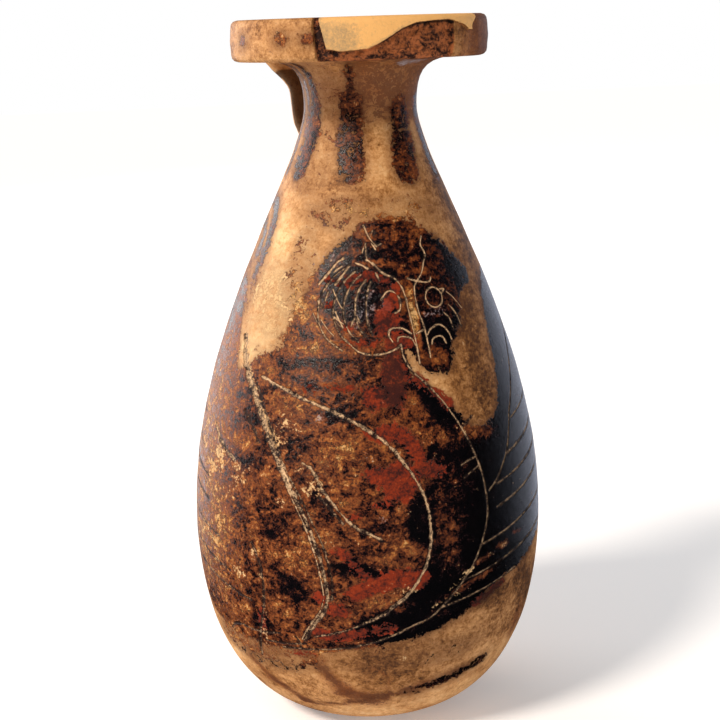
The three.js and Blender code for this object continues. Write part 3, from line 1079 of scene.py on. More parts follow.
@dataclass(frozen=True)
class BrokenRim:
    """The break in the disc's edge and the skin of fill over it.

    Heights and widths inside are shares of the disc's thickness, and span is how many degrees of
    its edge are as long as that. Azimuths are in degrees, and all depths in millimetres.
    """

    start: float = -49.0
    notch_width: float = 2.7
    notch_lean: float = 5.0
    core_lean: float = 1.6
    core_end: float = 16.5
    core_overlap: float = 2.0
    end: float = 27.5
    hook_width: float = 1.4
    hook_rise: Point = (0.7, 1.0)
    hook_lean: float = 5.5
    thin_out: float = 9.0
    span: float = 18.0
    depth: float = 0.72
    roughness: float = 0.22
    skin: float = 0.22
    chips: float = 0.03
    grain: float = 1.1
    octaves: int = 4
    ragged: float = 0.012
    step: Point = (-0.005, 0.03)
    pale: float = 0.85
    sandy: float = 0.45
    sandy_side: Point = (-24.0, -34.0)
    sandy_rise: Point = (1.02, 0.7)
    seam: float = 0.8
    seam_width: Point = (0.1, 0.02)
    seam_side: Point = (-5.0, -15.0)
    shadow: float = 0.8
    shadow_width: Point = (0.13, 0.02)
    shadow_side: Point = (-30.0, -16.0)
    edge: tuple[Point, ...] = (
        (-41.3, 0.27), (-37, 0.22), (-33.5, 0.23), (-29, 0.25), (-25.2, 0.27), (-21, 0.37), (-17, 0.49),
        (-11, 0.69), (-6, 0.79), (-2.7, 0.83), (5, 0.86), (13, 0.87), (17.7, 0.81), (23.2, 0.73),
        (26.2, 0.62),
    )

    def fill_edge(self, azimuth: np.ndarray) -> np.ndarray:
        """The height of the fill's lower edge, as a share of the disc's thickness."""
        points = np.array(self.edge)
        return np.interp(azimuth, points[:, 0], points[:, 1])

    def fill(self, azimuth: np.ndarray, share: np.ndarray) -> np.ndarray:
        """How far inside the fill each point lies.

        Args:
            azimuth: The points' azimuths.
            share: Their heights in the disc, from 0 to 1.

        Returns:
            A share of the disc's thickness for each point, below 0 outside the fill.
        """
        left = azimuth - self.start - self.notch_width - self.notch_lean * (1 - share)
        right = self.end + self.hook_width + self.hook_lean * smooth(share, *self.hook_rise) - azimuth
        return np.minimum(share - self.fill_edge(azimuth), np.minimum(left, right) / self.span)

    def core(self, azimuth: np.ndarray, share: np.ndarray) -> np.ndarray:
        """How far inside the bare, rough core each point lies.

        Args:
            azimuth: The points' azimuths.
            share: Their heights in the disc, from 0 to 1.

        Returns:
            A share of the disc's thickness for each point, below 0 outside the core.
        """
        left = azimuth - self.start - self.core_lean * (1 - share)
        between_ends = np.minimum(left, self.core_end - azimuth) / self.span
        return np.minimum(between_ends, -self.fill(azimuth, share))

    def depth_at(self, azimuth: np.ndarray, share: np.ndarray, rough: np.ndarray) -> np.ndarray:
        """How far the disc's edge is broken back.

        Args:
            azimuth: The points' azimuths.
            share: Their heights in the disc, from 0 to 1.
            rough: A noise from -1 to 1 at each.

        Returns:
            A depth in millimetres for each point.
        """
        last = self.end + self.thin_out
        bare = (self.fill(azimuth, share) + self.ragged * rough < 0) & (azimuth < last)
        bare &= azimuth > self.core_end - self.core_overlap
        skin = np.where(bare, self.skin * smooth(azimuth, last, self.end), 0)
        broken = smooth(self.core(azimuth, share), *self.step) * (self.depth + self.roughness * rough)
        return np.maximum(broken, skin) + self.chips * (1 + rough)

    def tone(self, azimuth: np.ndarray, share: np.ndarray) -> np.ndarray:
        """How pale the fill is: it is sandy at its left end and along its lower edge.

        Args:
            azimuth: The points' azimuths.
            share: Their heights in the disc, from 0 to 1.

        Returns:
            A tone from 0 to 1 for each point.
        """
        end = smooth(azimuth, *self.sandy_side) * smooth(share, *self.sandy_rise)
        lower = smooth(self.fill(azimuth, share), *self.seam_width) * smooth(azimuth, *self.seam_side)
        return self.pale - self.sandy * np.maximum(end, self.seam * lower)

    def shade(self, azimuth: np.ndarray, share: np.ndarray) -> np.ndarray:
        """How dark the painted shadow is on the core, in the step just under the fill.

        Args:
            azimuth: The points' azimuths.
            share: Their heights in the disc, from 0 to 1.

        Returns:
            A value from 0 to 1 for each point.
        """
        below = smooth(-self.fill(azimuth, share), *self.shadow_width)
        return self.shadow * below * smooth(azimuth, *self.shadow_side)


@dataclass(frozen=True)
class Strap:
    """The strap handle, from the disc's underside to the shoulder, in millimetres."""

    thickness: float = 1.8
    eye: float = 3.9
    half_width: float = 3.9
    top_half_width: float = 7.6
    rim_inset: float = 1.2
    drop: float = 5.6
    root: float = 0.9
    widening: float = 0.4
    sag: float = 0.018
    crown_reach: float = 0.55
    crown_drop: float = 0.2
    eye_lift: float = 0.25
    return_reach: float = 0.65
    return_drop: float = 0.5
    stations: int = 26
    sides: int = 32
    bluntness: float = 0.6

    def line(self, shape: ThrownShape) -> np.ndarray:
        """The strap's middle line.

        Args:
            shape: The form that it is pressed on to.

        Returns:
            Its (reach, height) points, from the disc down.
        """
        low = shape.neck_height - self.drop
        root = float(shape.radius_at(np.array(low)))
        eye = shape.neck_radius + self.eye + self.thickness / 2
        top = shape.rim_radius - self.rim_inset
        fall = shape.flare_rise
        return drawn((
            (top, shape.underside + self.root),
            (eye + self.crown_reach * (top - eye), shape.underside - self.crown_drop * fall),
            (eye, shape.neck_height + self.eye_lift * fall),
            (root + self.return_reach * (eye - root), shape.neck_height - self.return_drop * self.drop),
            (root - self.root, low),
        ), steps=16)

    def section(self, half_width: float) -> np.ndarray:
        """A flat oval with blunt ends.

        Args:
            half_width: Half its width.

        Returns:
            How far across and how far out each of its corners lies.
        """
        turn = np.linspace(0, 2 * math.pi, self.sides, endpoint=False)
        across = half_width * np.sign(np.sin(turn)) * np.abs(np.sin(turn)) ** self.bluntness
        out = self.thickness / 2 * np.sign(np.cos(turn)) * np.abs(np.cos(turn)) ** self.bluntness
        return np.stack([across, out - self.sag * across**2], axis=1)

    def place(self, shape: ThrownShape) -> list[np.ndarray]:
        """Every section's corners in space.

        Args:
            shape: The form that the strap is pressed on to.

        Returns:
            An array of places in metres for each section, from the disc down.
        """
        line = evenly(self.line(shape), 1.0)
        shares = np.linspace(0, 1, self.stations + 1)
        reach, height = (np.interp(shares, np.linspace(0, 1, len(line)), line[:, i]) for i in (0, 1))
        run, fall = np.gradient(reach), np.gradient(height)
        length = np.hypot(run, fall)
        rings = []
        for i, share in enumerate(shares):
            narrowed = float(smooth(np.array(share), 0, self.widening))
            half_width = self.top_half_width + narrowed * (self.half_width - self.top_half_width)
            across, out = self.section(half_width).T
            out = out / length[i]
            rings.append(np.stack([across, reach[i] - out * fall[i], height[i] + out * run[i]], axis=1) * MM)
        return rings


def only(piece: bpy.types.Object) -> None:
    """Makes a piece the only one that is selected, and the active one."""
    bpy.ops.object.select_all(action="DESELECT")
    piece.select_set(True)
    bpy.context.view_layer.objects.active = piece


def coordinates(mesh: bpy.types.Mesh) -> np.ndarray:
    """The places of a mesh's vertices, one to a row."""
    found = np.empty(len(mesh.vertices) * 3)
    mesh.vertices.foreach_get("co", found)
    return found.reshape(-1, 3)


def noise_at(places: np.ndarray, grain: float, octaves: int = 3) -> np.ndarray:
    """Smooth noise in space, from about -1 to 1.

    Args:
        places: Points in metres.
        grain: The size of its lumps in millimetres.
        octaves: How many finer layers it has.

    Returns:
        A value for each point.
    """
    scaled = places / (grain * MM)
    return np.array([noise.fractal(Vector(place), 0.9, 2.0, octaves) for place in scaled])


def pick(piece: bpy.types.Object, kind: str, chosen: np.ndarray) -> None:
    """Selects some of a piece's vertices or faces, and opens the piece for editing.

    Args:
        piece: The piece.
        kind: What is selected, VERT or FACE.
        chosen: For each of them whether it is.
    """
    only(piece)
    bpy.ops.object.mode_set(mode="EDIT")
    bpy.ops.mesh.select_mode(type=kind)
    bpy.ops.mesh.select_all(action="DESELECT")
    bpy.ops.object.mode_set(mode="OBJECT")
    parts = piece.data.vertices if kind == "VERT" else piece.data.polygons
    parts.foreach_set("select", chosen)
    bpy.ops.object.mode_set(mode="EDIT")


@dataclass
class Flask:
    """The whole vessel: thrown, with its handle pressed on, cut, broken and painted.

    Lengths are in millimetres and azimuths in degrees. The lift is how much higher the disc is at
    one side than at the other, and a ridge of the wheel comes every 2 pi times its run.
    """

    shape: ThrownShape
    picture: Picture = field(default_factory=Picture)
    ornament: Ornament = field(default_factory=Ornament)
    rim: BrokenRim = field(default_factory=BrokenRim)
    strap: Strap = field(default_factory=Strap)
    turns: int = 160
    lift: float = 0.4
    lift_azimuth: float = 61.0
    fine_levels: tuple[float, ...] = (0.55, 0.28, 0.08)
    line_reach: float = 2.0
    groove_reach: float = 1.5
    paint_reach: float = 1.6
    seam_reach: float = 0.16
    slack: float = 0.09
    edge_depth: float = 1.1
    joint_beside: float = 1.2
    joint_heights: Point = (-2.2, 2.6)
    collar_beside: float = 1.0
    collar_heights: Point = (-1.1, 0.15)
    softenings: int = 5
    disc_skin: float = 1.2
    strap_gap: float = 0.35
    burr: float = 0.1
    no_cut: float = 4.0
    ragged_grain: float = 0.6
    ridge_height: float = 0.035
    ridge_runs: Point = (1.7, 0.9)
    sway: float = 0.027
    sway_grain: float = 9.0
    foot_fade: Point = (0.2, 2.0)
    bare: float = -3.0
    eye_shade: float = 0.75
    piece: bpy.types.Object | None = None

    def throw(self) -> bpy.types.Object:
        """Extrudes the outline from one corner and spins it round the axis.

        Returns:
            The thrown body.
        """
        outline = self.shape.outline() * MM
        bpy.ops.object.select_all(action="DESELECT")
        bpy.ops.mesh.primitive_plane_add(size=MM, location=(0, 0, 0))
        body = bpy.context.object
        body.name = "clay_flask"
        body.data.name = "clay_flask"
        bpy.ops.object.mode_set(mode="EDIT")
        bpy.ops.mesh.select_all(action="SELECT")
        bpy.ops.mesh.merge(type="CENTER")
        bpy.ops.transform.translate(value=(outline[0][0], 0, outline[0][1]))
        for step in np.diff(outline, axis=0):
            bpy.ops.mesh.extrude_region_move(TRANSFORM_OT_translate={"value": (step[0], 0, step[1])})
        bpy.ops.mesh.select_all(action="SELECT")
        bpy.ops.mesh.spin(steps=self.turns, angle=2 * math.pi, center=(0, 0, 0), axis=(0, 0, 1))
        bpy.ops.mesh.select_all(action="SELECT")
        bpy.ops.mesh.remove_doubles(threshold=0.01 * MM)
        bpy.ops.mesh.normals_make_consistent(inside=False)
        bpy.ops.object.mode_set(mode="OBJECT")
        return body

    def press_strap(self) -> bpy.types.Object:
        """Extrudes the strap section by section, and closes its ends.

        Returns:
            The strap.
        """
        rings = self.strap.place(self.shape)
        bpy.ops.object.select_all(action="DESELECT")
        bpy.ops.mesh.primitive_circle_add(vertices=self.strap.sides, radius=MM, fill_type="NGON")
        strap = bpy.context.object
        bpy.ops.object.mode_set(mode="EDIT")
        bpy.ops.mesh.select_all(action="SELECT")
        for before, after in zip(rings, rings[1:]):
            step = tuple(after.mean(axis=0) - before.mean(axis=0))
            bpy.ops.mesh.extrude_region_move(TRANSFORM_OT_translate={"value": step})
        bpy.ops.object.mode_set(mode="OBJECT")
        strap.data.vertices.foreach_set("co", np.vstack(rings).ravel())
        strap.data.update()
        bpy.ops.object.mode_set(mode="EDIT")
        bpy.ops.mesh.select_all(action="SELECT")
        bpy.ops.mesh.normals_make_consistent(inside=False)
        bpy.ops.object.mode_set(mode="OBJECT")
        return strap

    def join(self, body: bpy.types.Object, strap: bpy.types.Object) -> None:
        """Unites the strap with the body.

        Args:
            body: The thrown body, which stays as the piece.
            strap: The strap, which it takes in.
        """
        only(body)
        union = body.modifiers.new("handle", "BOOLEAN")
        union.operation = "UNION"
        union.solver = "EXACT"
        union.object = strap
        bpy.ops.object.modifier_apply(modifier=union.name)
        bpy.data.objects.remove(strap)
        self.piece = body

    def outside(self, spot: Unrolled) -> np.ndarray:
        """Which points lie on the thrown outside, up to the disc's underside."""
        level = (spot.height > 0.01) & (spot.height < self.shape.underside - 0.3)
        return level & (np.abs(spot.outwards) < self.slack)

    def edge(self, spot: Unrolled) -> np.ndarray:
        """Which points lie on the outer edge of the disc."""
        outer = spot.radius > self.shape.rim_radius - self.edge_depth
        return outer & (spot.height > self.shape.underside - 0.4)

    def refine(self) -> None:
        """Subdivides the faces along the incised lines and over the broken edge."""
        mesh = self.piece.data
        first, last = self.rim.start - 3, self.rim.end + self.rim.thin_out
        for level, reach in enumerate(self.fine_levels):
            centres = np.empty(len(mesh.polygons) * 3)
            mesh.polygons.foreach_get("center", centres)
            spot = Unrolled(centres.reshape(-1, 3), self.shape)
            beside = [
                spot.to_line(cut.course, self.line_reach) - cut.width / 2 for cut in self.picture.lines
            ]
            chosen = (np.minimum.reduce(beside) < reach) & self.outside(spot)
            broken = self.edge(spot) & (spot.azimuth > first) & (spot.azimuth < last)
            near_fill = np.abs(self.rim.fill(spot.azimuth, spot.share)) < self.seam_reach
            chosen |= broken & ((level < 2) | near_fill)
            pick(self.piece, "FACE", chosen)
            bpy.ops.mesh.subdivide(number_cuts=1, quadcorner="INNERVERT")
            bpy.ops.object.mode_set(mode="OBJECT")
            log.info("level %d: %d faces chosen, %d in all", level, chosen.sum(), len(mesh.polygons))

    def relief(self) -> None:
        """Moves the outside's points: true circles, ridges of the wheel, grooves and the break."""
        mesh = self.piece.data
        places = coordinates(mesh)
        spot = Unrolled(places, self.shape)
        wall, edge = self.outside(spot), self.edge(spot)
        inward = np.zeros(len(places))
        inward[wall] = self.ridges(places[wall]) + self.grooves(places[wall])
        inward *= smooth(spot.height, *self.foot_fade)
        rough = noise_at(places[edge], self.rim.grain, self.rim.octaves)
        inward[edge] += self.rim.depth_at(spot.azimuth[edge], spot.share[edge], rough)
        circles = np.where(wall, self.shape.radius_at(spot.height), spot.radius)
        moved = np.maximum(circles - inward, 0)
        places[:, :2] *= np.where(spot.radius > 1, moved / np.maximum(spot.radius, 1e-6), 1)[:, None]
        lifted = math.radians(self.lift_azimuth - 90)
        across = places[:, :2] @ (math.cos(lifted), math.sin(lifted)) / self.shape.rim_radius
        rise = smooth(spot.height, self.shape.neck_height, self.shape.underside)
        places[:, 2] += self.lift / 2 * across * rise
        mesh.vertices.foreach_set("co", places.ravel())
        mesh.update()

    def ridges(self, places: np.ndarray) -> np.ndarray:
        """How far the wall lies inside its true form, from the ridges of the wheel and a slow sway.

        Args:
            places: Points on the wall, in metres.

        Returns:
            A depth in millimetres for each point.
        """
        height = places[:, 2] / MM
        lumps = noise_at(places, self.sway_grain)
        wide, narrow = self.ridge_runs
        ridges = np.sin(height / wide + 2 * lumps) + 0.6 * np.sin(height / narrow + lumps)
        return self.ridge_height * (1.5 - ridges) / 2 + self.sway * (1 - lumps)

    def grooves(self, places: np.ndarray) -> np.ndarray:
        """How deep the incised lines cut into the wall, less the burr beside them.

        Args:
            places: Points on the wall, in metres.

        Returns:
            A depth in millimetres for each point.
        """
        spot = Unrolled(places, self.shape)
        rough = noise_at(places, self.ragged_grain)
        deep = np.zeros(len(places))
        for cut in self.picture.lines:
            off = spot.to_line(cut.course, self.groove_reach)
            valley, burr = cut.profile(off / cut.half_width(rough))
            deep = np.maximum(deep, valley) - burr * (deep < 0.01)
        return deep

    def smooth_joints(self) -> None:
        """Softens the clay where the strap meets the shoulder and the disc."""
        places = coordinates(self.piece.data)
        spot = Unrolled(places, self.shape)
        sideways, back = np.abs(places[:, 0] / MM), places[:, 1] / MM
        above_root = spot.height - (self.shape.neck_height - self.strap.drop)
        above_disc = spot.height - self.shape.underside
        joint = (sideways < self.strap.half_width + self.joint_beside) & (back > 0) & (spot.outwards > -0.2)
        joint &= (above_root > self.joint_heights[0]) & (above_root < self.joint_heights[1])
        collar = sideways < self.strap.top_half_width + self.collar_beside
        collar &= back > self.shape.neck_radius + self.collar_beside
        collar &= (above_disc > self.collar_heights[0]) & (above_disc < self.collar_heights[1])
        pick(self.piece, "VERT", joint | collar)
        bpy.ops.mesh.vertices_smooth(factor=0.5, repeat=self.softenings)
        bpy.ops.object.mode_set(mode="OBJECT")

    def paint(self) -> None:
        """Works out every layer of paint and wear, and stores it on the vertices."""
        mesh = self.piece.data
        places = coordinates(mesh)
        spot = Unrolled(places, self.shape)
        below = spot.height < self.shape.underside
        inner = below & (spot.outwards < -self.disc_skin)
        strap = below & (spot.outwards > self.strap_gap)
        top = spot.on_disc & (spot.radius < self.shape.rim_radius - self.disc_skin)
        layers = self.painted_layers(spot, noise_at(places, self.ragged_grain)) | self.rim_layers(spot)
        layers[Layer.SLIP] = np.where(top, self.ornament.petal_ring(spot), layers[Layer.SLIP])
        layers[Layer.BURN] = np.where(top, self.ornament.worn_petals, layers[Layer.BURN])
        layers[Layer.CUT][inner | strap | top] = self.no_cut
        for layer, none in (
            (Layer.SLIP, self.bare), (Layer.RED, self.bare), (Layer.BLOOM, 0), (Layer.CREAM, 0),
        ):
            layers[layer][inner | strap] = none
        # Painted shade: the inside of the flask is darkened fully, and the strap's inner face, in its eye,
        # partly.
        reach, height = self.strap.line(self.shape)[::-1].T
        eye = strap & (places[:, 1] / MM < np.interp(spot.height, height, reach))
        eye &= spot.height < self.shape.underside - self.disc_skin
        layers[Layer.SHADE] = np.where(inner, 1.0, np.where(eye, self.eye_shade, layers[Layer.SHADE]))
        for layer, values in layers.items():
            attribute = mesh.attributes.new(layer.value, "FLOAT", "POINT")
            attribute.data.foreach_set("value", values.astype(np.float32))

    def painted_layers(self, spot: Unrolled, rough: np.ndarray) -> dict[Layer, np.ndarray]:
        """The layers that the picture and its ornaments need.

        Args:
            spot: The points.
            rough: A noise from -1 to 1 at each.

        Returns:
            A value for each point in each layer.
        """
        ornaments = self.ornament.painted(spot, self.shape.underside)
        slip = np.maximum(self.picture.painted(spot), ornaments)
        cut, pale = self.incised(spot, rough)
        return {
            Layer.SLIP: np.where(spot.on_disc, ornaments, slip),
            Layer.BURN: self.ornament.wear(spot, self.picture.wear(spot)),
            Layer.RED: spot.depth_in(self.picture.red()),
            Layer.CUT: np.where(spot.on_disc, self.no_cut, cut),
            Layer.PALE: np.where(spot.on_disc, self.rim.tone(spot.azimuth, spot.share), pale),
            Layer.CREAM: np.clip(spot.cover(self.picture.cream()), 0, 1),
            Layer.STAIN_AND_SHADOW: np.clip(self.ornament.stain_and_shadow(spot), 0, 1),
            Layer.TONE_LIGHT_AND_SHADE: np.clip(0.5 + spot.cover(self.ornament.clouds_light_and_shade()), 0, 1),
            Layer.BLOOM: np.clip(spot.cover(self.picture.bloom_and_sheen()), 0, 1),
        }

    def incised(self, spot: Unrolled, rough: np.ndarray) -> tuple[np.ndarray, np.ndarray]:
        """Where the incised lines run and how pale they are.

        Args:
            spot: The points.
            rough: A noise from -1 to 1 at each.

        Returns:
            For each point how far it is from the nearest line, up to 1 in its groove and more
            over its burr, and how much cream that line has kept.
        """
        nearest = np.full(len(rough), self.no_cut)
        pale = np.zeros(len(rough))
        for cut in self.picture.lines:
            off = spot.to_line(cut.course, self.paint_reach)
            half = cut.half_width(rough)
            off = np.where(off < half, off / half, 1 + (off - half) / self.burr)
            pale = np.where(off < nearest, cut.cream, pale)
            nearest = np.minimum(nearest, off)
        return nearest, pale

    def rim_layers(self, spot: Unrolled) -> dict[Layer, np.ndarray]:
        """The fill and the bare core of the broken edge, and the shade under the fill.

        Args:
            spot: The points.

        Returns:
            A value for each point in each layer.
        """
        edge = (spot.radius > self.shape.rim_radius - 2) & (spot.share > -0.1)
        fill = np.where(edge, self.rim.fill(spot.azimuth, spot.share), -1)
        core = np.where(edge, self.rim.core(spot.azimuth, spot.share), -1)
        shade = np.where(core > 0, self.rim.shade(spot.azimuth, spot.share), 0)
        return {Layer.FILL: np.clip(fill, -1, 1), Layer.CORE: np.clip(core, -1, 1), Layer.SHADE: shade}

    def build(self) -> bpy.types.Object:
        """Makes the whole flask in order, and ties it to its frame.

        Returns:
            The finished piece, still without its material.
        """
        body = self.throw()
        self.join(body, self.press_strap())
        self.refine()
        self.paint()
        self.relief()
        self.smooth_joints()
        only(self.piece)
        bpy.ops.object.shade_smooth_by_angle(angle=math.radians(50))
        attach(self.piece, BODY)
        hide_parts(NODE)
        return self.piece


def linear(colour: str) -> tuple[float, float, float, float]:
    """A colour written as sRGB hex, such as "#c08040", as linear red, green, blue and alpha."""
    shares = [int(colour[i:i + 2], 16) / 255 for i in (1, 3, 5)]
    lit = [s / 12.92 if s <= 0.04045 else ((s + 0.055) / 1.055) ** 2.4 for s in shares]
    return (*lit, 1.0)


def add_node(
    tree: bpy.types.NodeTree,
    kind: str,
    inputs: dict[str | int, object],
    output: str | int = 0,
    **settings: object,
) -> bpy.types.NodeSocket:
    """Adds a shader node.

    Args:
        tree: The node tree that it joins.
        kind: The node's type, without "ShaderNode".
        inputs: Its inputs by name or number: a socket is linked, and a value is set.
        output: The name or number of the output wanted.
        settings: The node's own properties. A ramp's "stops" are pairs of a place and a hex colour.

    Returns:
        The wanted output's socket.
    """
    node = tree.nodes.new(f"ShaderNode{kind}")
    for place, (at, colour) in enumerate(settings.pop("stops", ())):
        elements = node.color_ramp.elements
        element = elements[place] if place < 2 else elements.new(at)
        element.position = at
        element.color = linear(colour)
    for name, value in settings.items():
        setattr(node, name, value)
    for name, value in inputs.items():
        if isinstance(value, bpy.types.NodeSocket):
            tree.links.new(value, node.inputs[name])
        else:
            node.inputs[name].default_value = value
    return node.outputs[output] if node.outputs else None


@dataclass(frozen=True)
class Coat:
    """A layer of paint, wear, dirt or painted shade: where it lies, how ragged its edge is, and how it looks.

    It lies where the sum of its vertex attribute and the noises reaches from low to high. The
    noises are the broad mottle, the flakes and the fine grain, each with its own weight. Its colour
    wanders between a dark and a light one, round the middle or round what the tone's layer says.
    """

    layer: Layer
    low: float
    high: float
    noises: Weights
    colours: tuple[str, str] = ("#000000", "#000000")
    opacity: float = 1.0
    roughness: float = 0.6
    height: float = 0.0
    tone: Layer | None = None
    wander: Weights = (1.5, 1.8, 2.0)


@dataclass(frozen=True)
class PaintedClay:
    """Fired clay, wheel-turned and burnished, with a glossy slip that has flaked and turned brown.

    The slip is nearly black and glossy where it is whole, and matt brown to tan where it has worn.
    The clay under it is a satin buff, and the added red is dull and thick.
    """

    # The clay runs from scorched brown to pale buff. The slip goes from black to tan in steps with
    # hard edges, because it comes off in thin layers.
    clay_stops: tuple[tuple[float, str], ...] = (
        (0.0, "#552f0e"), (0.26, "#8f5b29"), (0.52, "#c18a52"), (0.76, "#dfaa70"), (1.0, "#f6cb92"),
    )
    slip_stops: tuple[tuple[float, str], ...] = (
        (0.0, "#060609"), (0.3, "#0c080c"), (0.32, "#200e10"), (0.4, "#2c1210"), (0.415, "#56270f"),
        (0.515, "#663011"), (0.53, "#7f4018"), (0.67, "#904c1a"), (0.685, "#9c5a22"), (0.82, "#aa6a2c"),
        (0.835, "#c18947"), (1.0, "#d0a064"),
    )
    slip: Coat = Coat(Layer.SLIP, -0.09, 0.05, (1.3, 3.0, 2.0), height=0.5)
    # On the clay: brown stains with soft edges, darker crusts inside them, and the warm halo that
    # thin slip leaves round whole slip. On the upper neck the stain is partly the disc's painted shadow.
    under_coats: tuple[Coat, ...] = (
        Coat(Layer.STAIN_AND_SHADOW, 0.1, 1.2, (1.0, 0.8, 0.8), ("#6e300a", "#a85a1e"), 0.92),
        Coat(Layer.STAIN_AND_SHADOW, 0.66, 0.86, (0.5, 2.2, 2.8), ("#38180f", "#5f3319"), 0.7, height=-0.2),
        Coat(Layer.SLIP, -1.6, 0.5, (2.2, 2.4, 1.2), ("#4b2a18", "#7b4a25"), 0.7),
    )
    # On the slip: a greyish bloom that glints a little and is partly a painted sheen, thick dull red,
    # scraped streaks of pale clay, a painted shadow beside each incised line and pale clay in it, the
    # coarse core of the broken edge, the smooth sandy fill over it, and painted shade in deep places.
    over_coats: tuple[Coat, ...] = (
        # Grey bloom, partly painted sheen on the glossy black slip.
        Coat(Layer.BLOOM, 0.55, 0.9, (0.4, 1.6, 2.6), ("#5a5560", "#a39da2"), 0.62, 0.42),
        Coat(Layer.RED, -0.08, 0.2, (0.8, 2.8, 1.8), ("#3d0f06", "#8b2800"), 0.94, 0.85, 0.3, Layer.TONE_LIGHT_AND_SHADE),
        Coat(Layer.CREAM, 0.62, 0.92, (1.0, 2.2, 2.8), ("#c28f58", "#e3ba84"), 0.92, 0.6, -0.3),
        # Painted shadow: a dark edge just outside each incised line.
        Coat(Layer.CUT, 2.8, 1.4, (4.5, 4.5, 3.0), ("#150b0a", "#301a10"), 0.5),
        Coat(Layer.CUT, 1.3, 0.7, (2.0, 2.6, 2.2), ("#2b1610", "#e6bd90"), 0.94, 0.62, -0.4,
             Layer.PALE, (1.2, 1.8, 2.4)),
        Coat(Layer.CORE, 0.0, 0.02, (0.0, 0.0, 0.05), ("#2c120a", "#ab5f30"), 1.0, 0.75, 0.0,
             None, (2.6, 2.2, 2.4)),
        Coat(Layer.FILL, 0.0, 0.015, (0.0, 0.0, 0.04), ("#b08f63", "#efb56c"), 1.0, 0.6, 0.0,
             Layer.PALE, (0.3, 0.6, 1.4)),
        # Painted shade: inside the flask, in the strap's eye and in the step under the fill.
        Coat(Layer.SHADE, 0.3, 0.8, (0.0, 0.0, 0.0), ("#20110b", "#38200f"), 0.85, 0.7),
    )
    crackle_colour: str = "#170c0b"
    fleck_colour: str = "#d3a673"
    # The real sizes of the clay's and the slip's patterns, in millimetres: the mottle of uneven
    # fire, the flakes in which slip lets go, and the grit, whose real grains are about 0.1 and too
    # fine to show, so they are drawn as coarse as they need to be. Then the clouds of the kiln, the
    # specks of lime and dirt, and the streaks of burnishing, which run round the flask.
    mottle_mm: float = 5.2
    flake_mm: float = 1.5
    grain_mm: float = 0.38
    cloud_mm: float = 12.0
    speck_mm: float = 0.8
    streak_mm: float = 3.4
    drawn_out: float = 1.45
    bump_mm: float = 0.17
    shine: float = 0.3
    tone_specks: Weights = (1.8, 0.8, 0.4)
    tone_lumps: Weights = (0.7, 0.9, 1.2)
    wear_specks: Weights = (0.3, 1.0, 0.3)
    wear_lumps: Weights = (1.2, 1.8, 1.5)
    wear_spread: Point = (0.6, 0.38)
    pitting: Weights = (0.0, 0.5, 1.0)
    fleck_specks: Weights = (0.0, 1.0, 0.3)
    fleck_lumps: Weights = (0.2, 0.3, 1.2)
    dullness: float = 0.58
    glossy: Point = (0.26, 0.55)
    crackle_share: float = 0.85
    fleck_share: float = 0.85

    def noises(
        self,
        tree: bpy.types.NodeTree,
        sizes: tuple[Weights, ...],
        bend: float,
        seed: float,
    ) -> bpy.types.NodeSocket:
        """Three noises in one vector, each centred on 0.

        Args:
            tree: The material's node tree.
            sizes: For each noise its lumps' size in millimetres, its roughness and how much finer
                it is along the axis than around it.
            bend: How much the noises are bent.
            seed: Where in the fourth dimension they are read.

        Returns:
            The vector's socket.
        """
        place = add_node(tree, "TexCoord", {}, "Object")
        made = {}
        for number, (size, rough, drawn_out) in enumerate(sizes):
            scaled = add_node(tree, "Mapping", {"Vector": place, "Scale": (1, 1, drawn_out)})
            made[number] = add_node(tree, "TexNoise", {
                "Vector": scaled, "W": seed + number, "Scale": 1 / (size * MM), "Detail": 6.0,
                "Roughness": rough, "Distortion": bend,
            }, noise_dimensions="4D")
        joined = add_node(tree, "CombineXYZ", made)
        return add_node(tree, "VectorMath", {0: joined, 1: (0.5, 0.5, 0.5)}, operation="SUBTRACT")

    def swayed(
        self,
        tree: bpy.types.NodeTree,
        base: bpy.types.NodeSocket | float,
        *sways: tuple[bpy.types.NodeSocket, Weights],
    ) -> bpy.types.NodeSocket:
        """A value that noises move up and down, so that nothing on the flask is even.

        Args:
            tree: The material's node tree.
            base: The value.
            sways: Vectors of noises, each with the weights of its three noises.

        Returns:
            The moved value's socket.
        """
        for vector, weights in sways:
            sway = add_node(tree, "VectorMath", {0: vector, 1: weights}, "Value", operation="DOT_PRODUCT")
            base = add_node(tree, "Math", {0: sway, 1: base}, operation="ADD")
        return base

    def make(self) -> bpy.types.Material:
        """Builds the material: the clay, then each coat over it.

        Returns:
            The material.
        """
        material = bpy.data.materials.new("burnished_clay_with_worn_black_slip")
        material.use_nodes = True
        tree = material.node_tree
        tree.nodes.clear()
        even = ((self.mottle_mm, 0.6, self.drawn_out), (self.flake_mm, 0.6, 1.25), (self.grain_mm, 0.62, 1.0))
        fine = ((self.cloud_mm, 0.6, 1.0), (self.speck_mm, 0.7, 1.0), (self.streak_mm, 0.7, 5.0))
        lumps = self.noises(tree, even, 0.9, 0.0)
        specks = self.noises(tree, fine, 0.3, 7.0)
        layers = {
            layer: add_node(tree, "Attribute", {}, "Fac", attribute_name=layer.value) for layer in Layer
        }

        # The tone layer carries kiln clouds, and also painted light on the left shoulder and painted shade on
        # the right side.
        tone = self.swayed(tree, layers[Layer.TONE_LIGHT_AND_SHADE], (specks, self.tone_specks), (lumps, self.tone_lumps))
        colour = add_node(tree, "ValToRGB", {"Fac": tone}, stops=self.clay_stops)
        coats = [(coat, self.colour_of(tree, coat, lumps, layers)) for coat in self.under_coats]

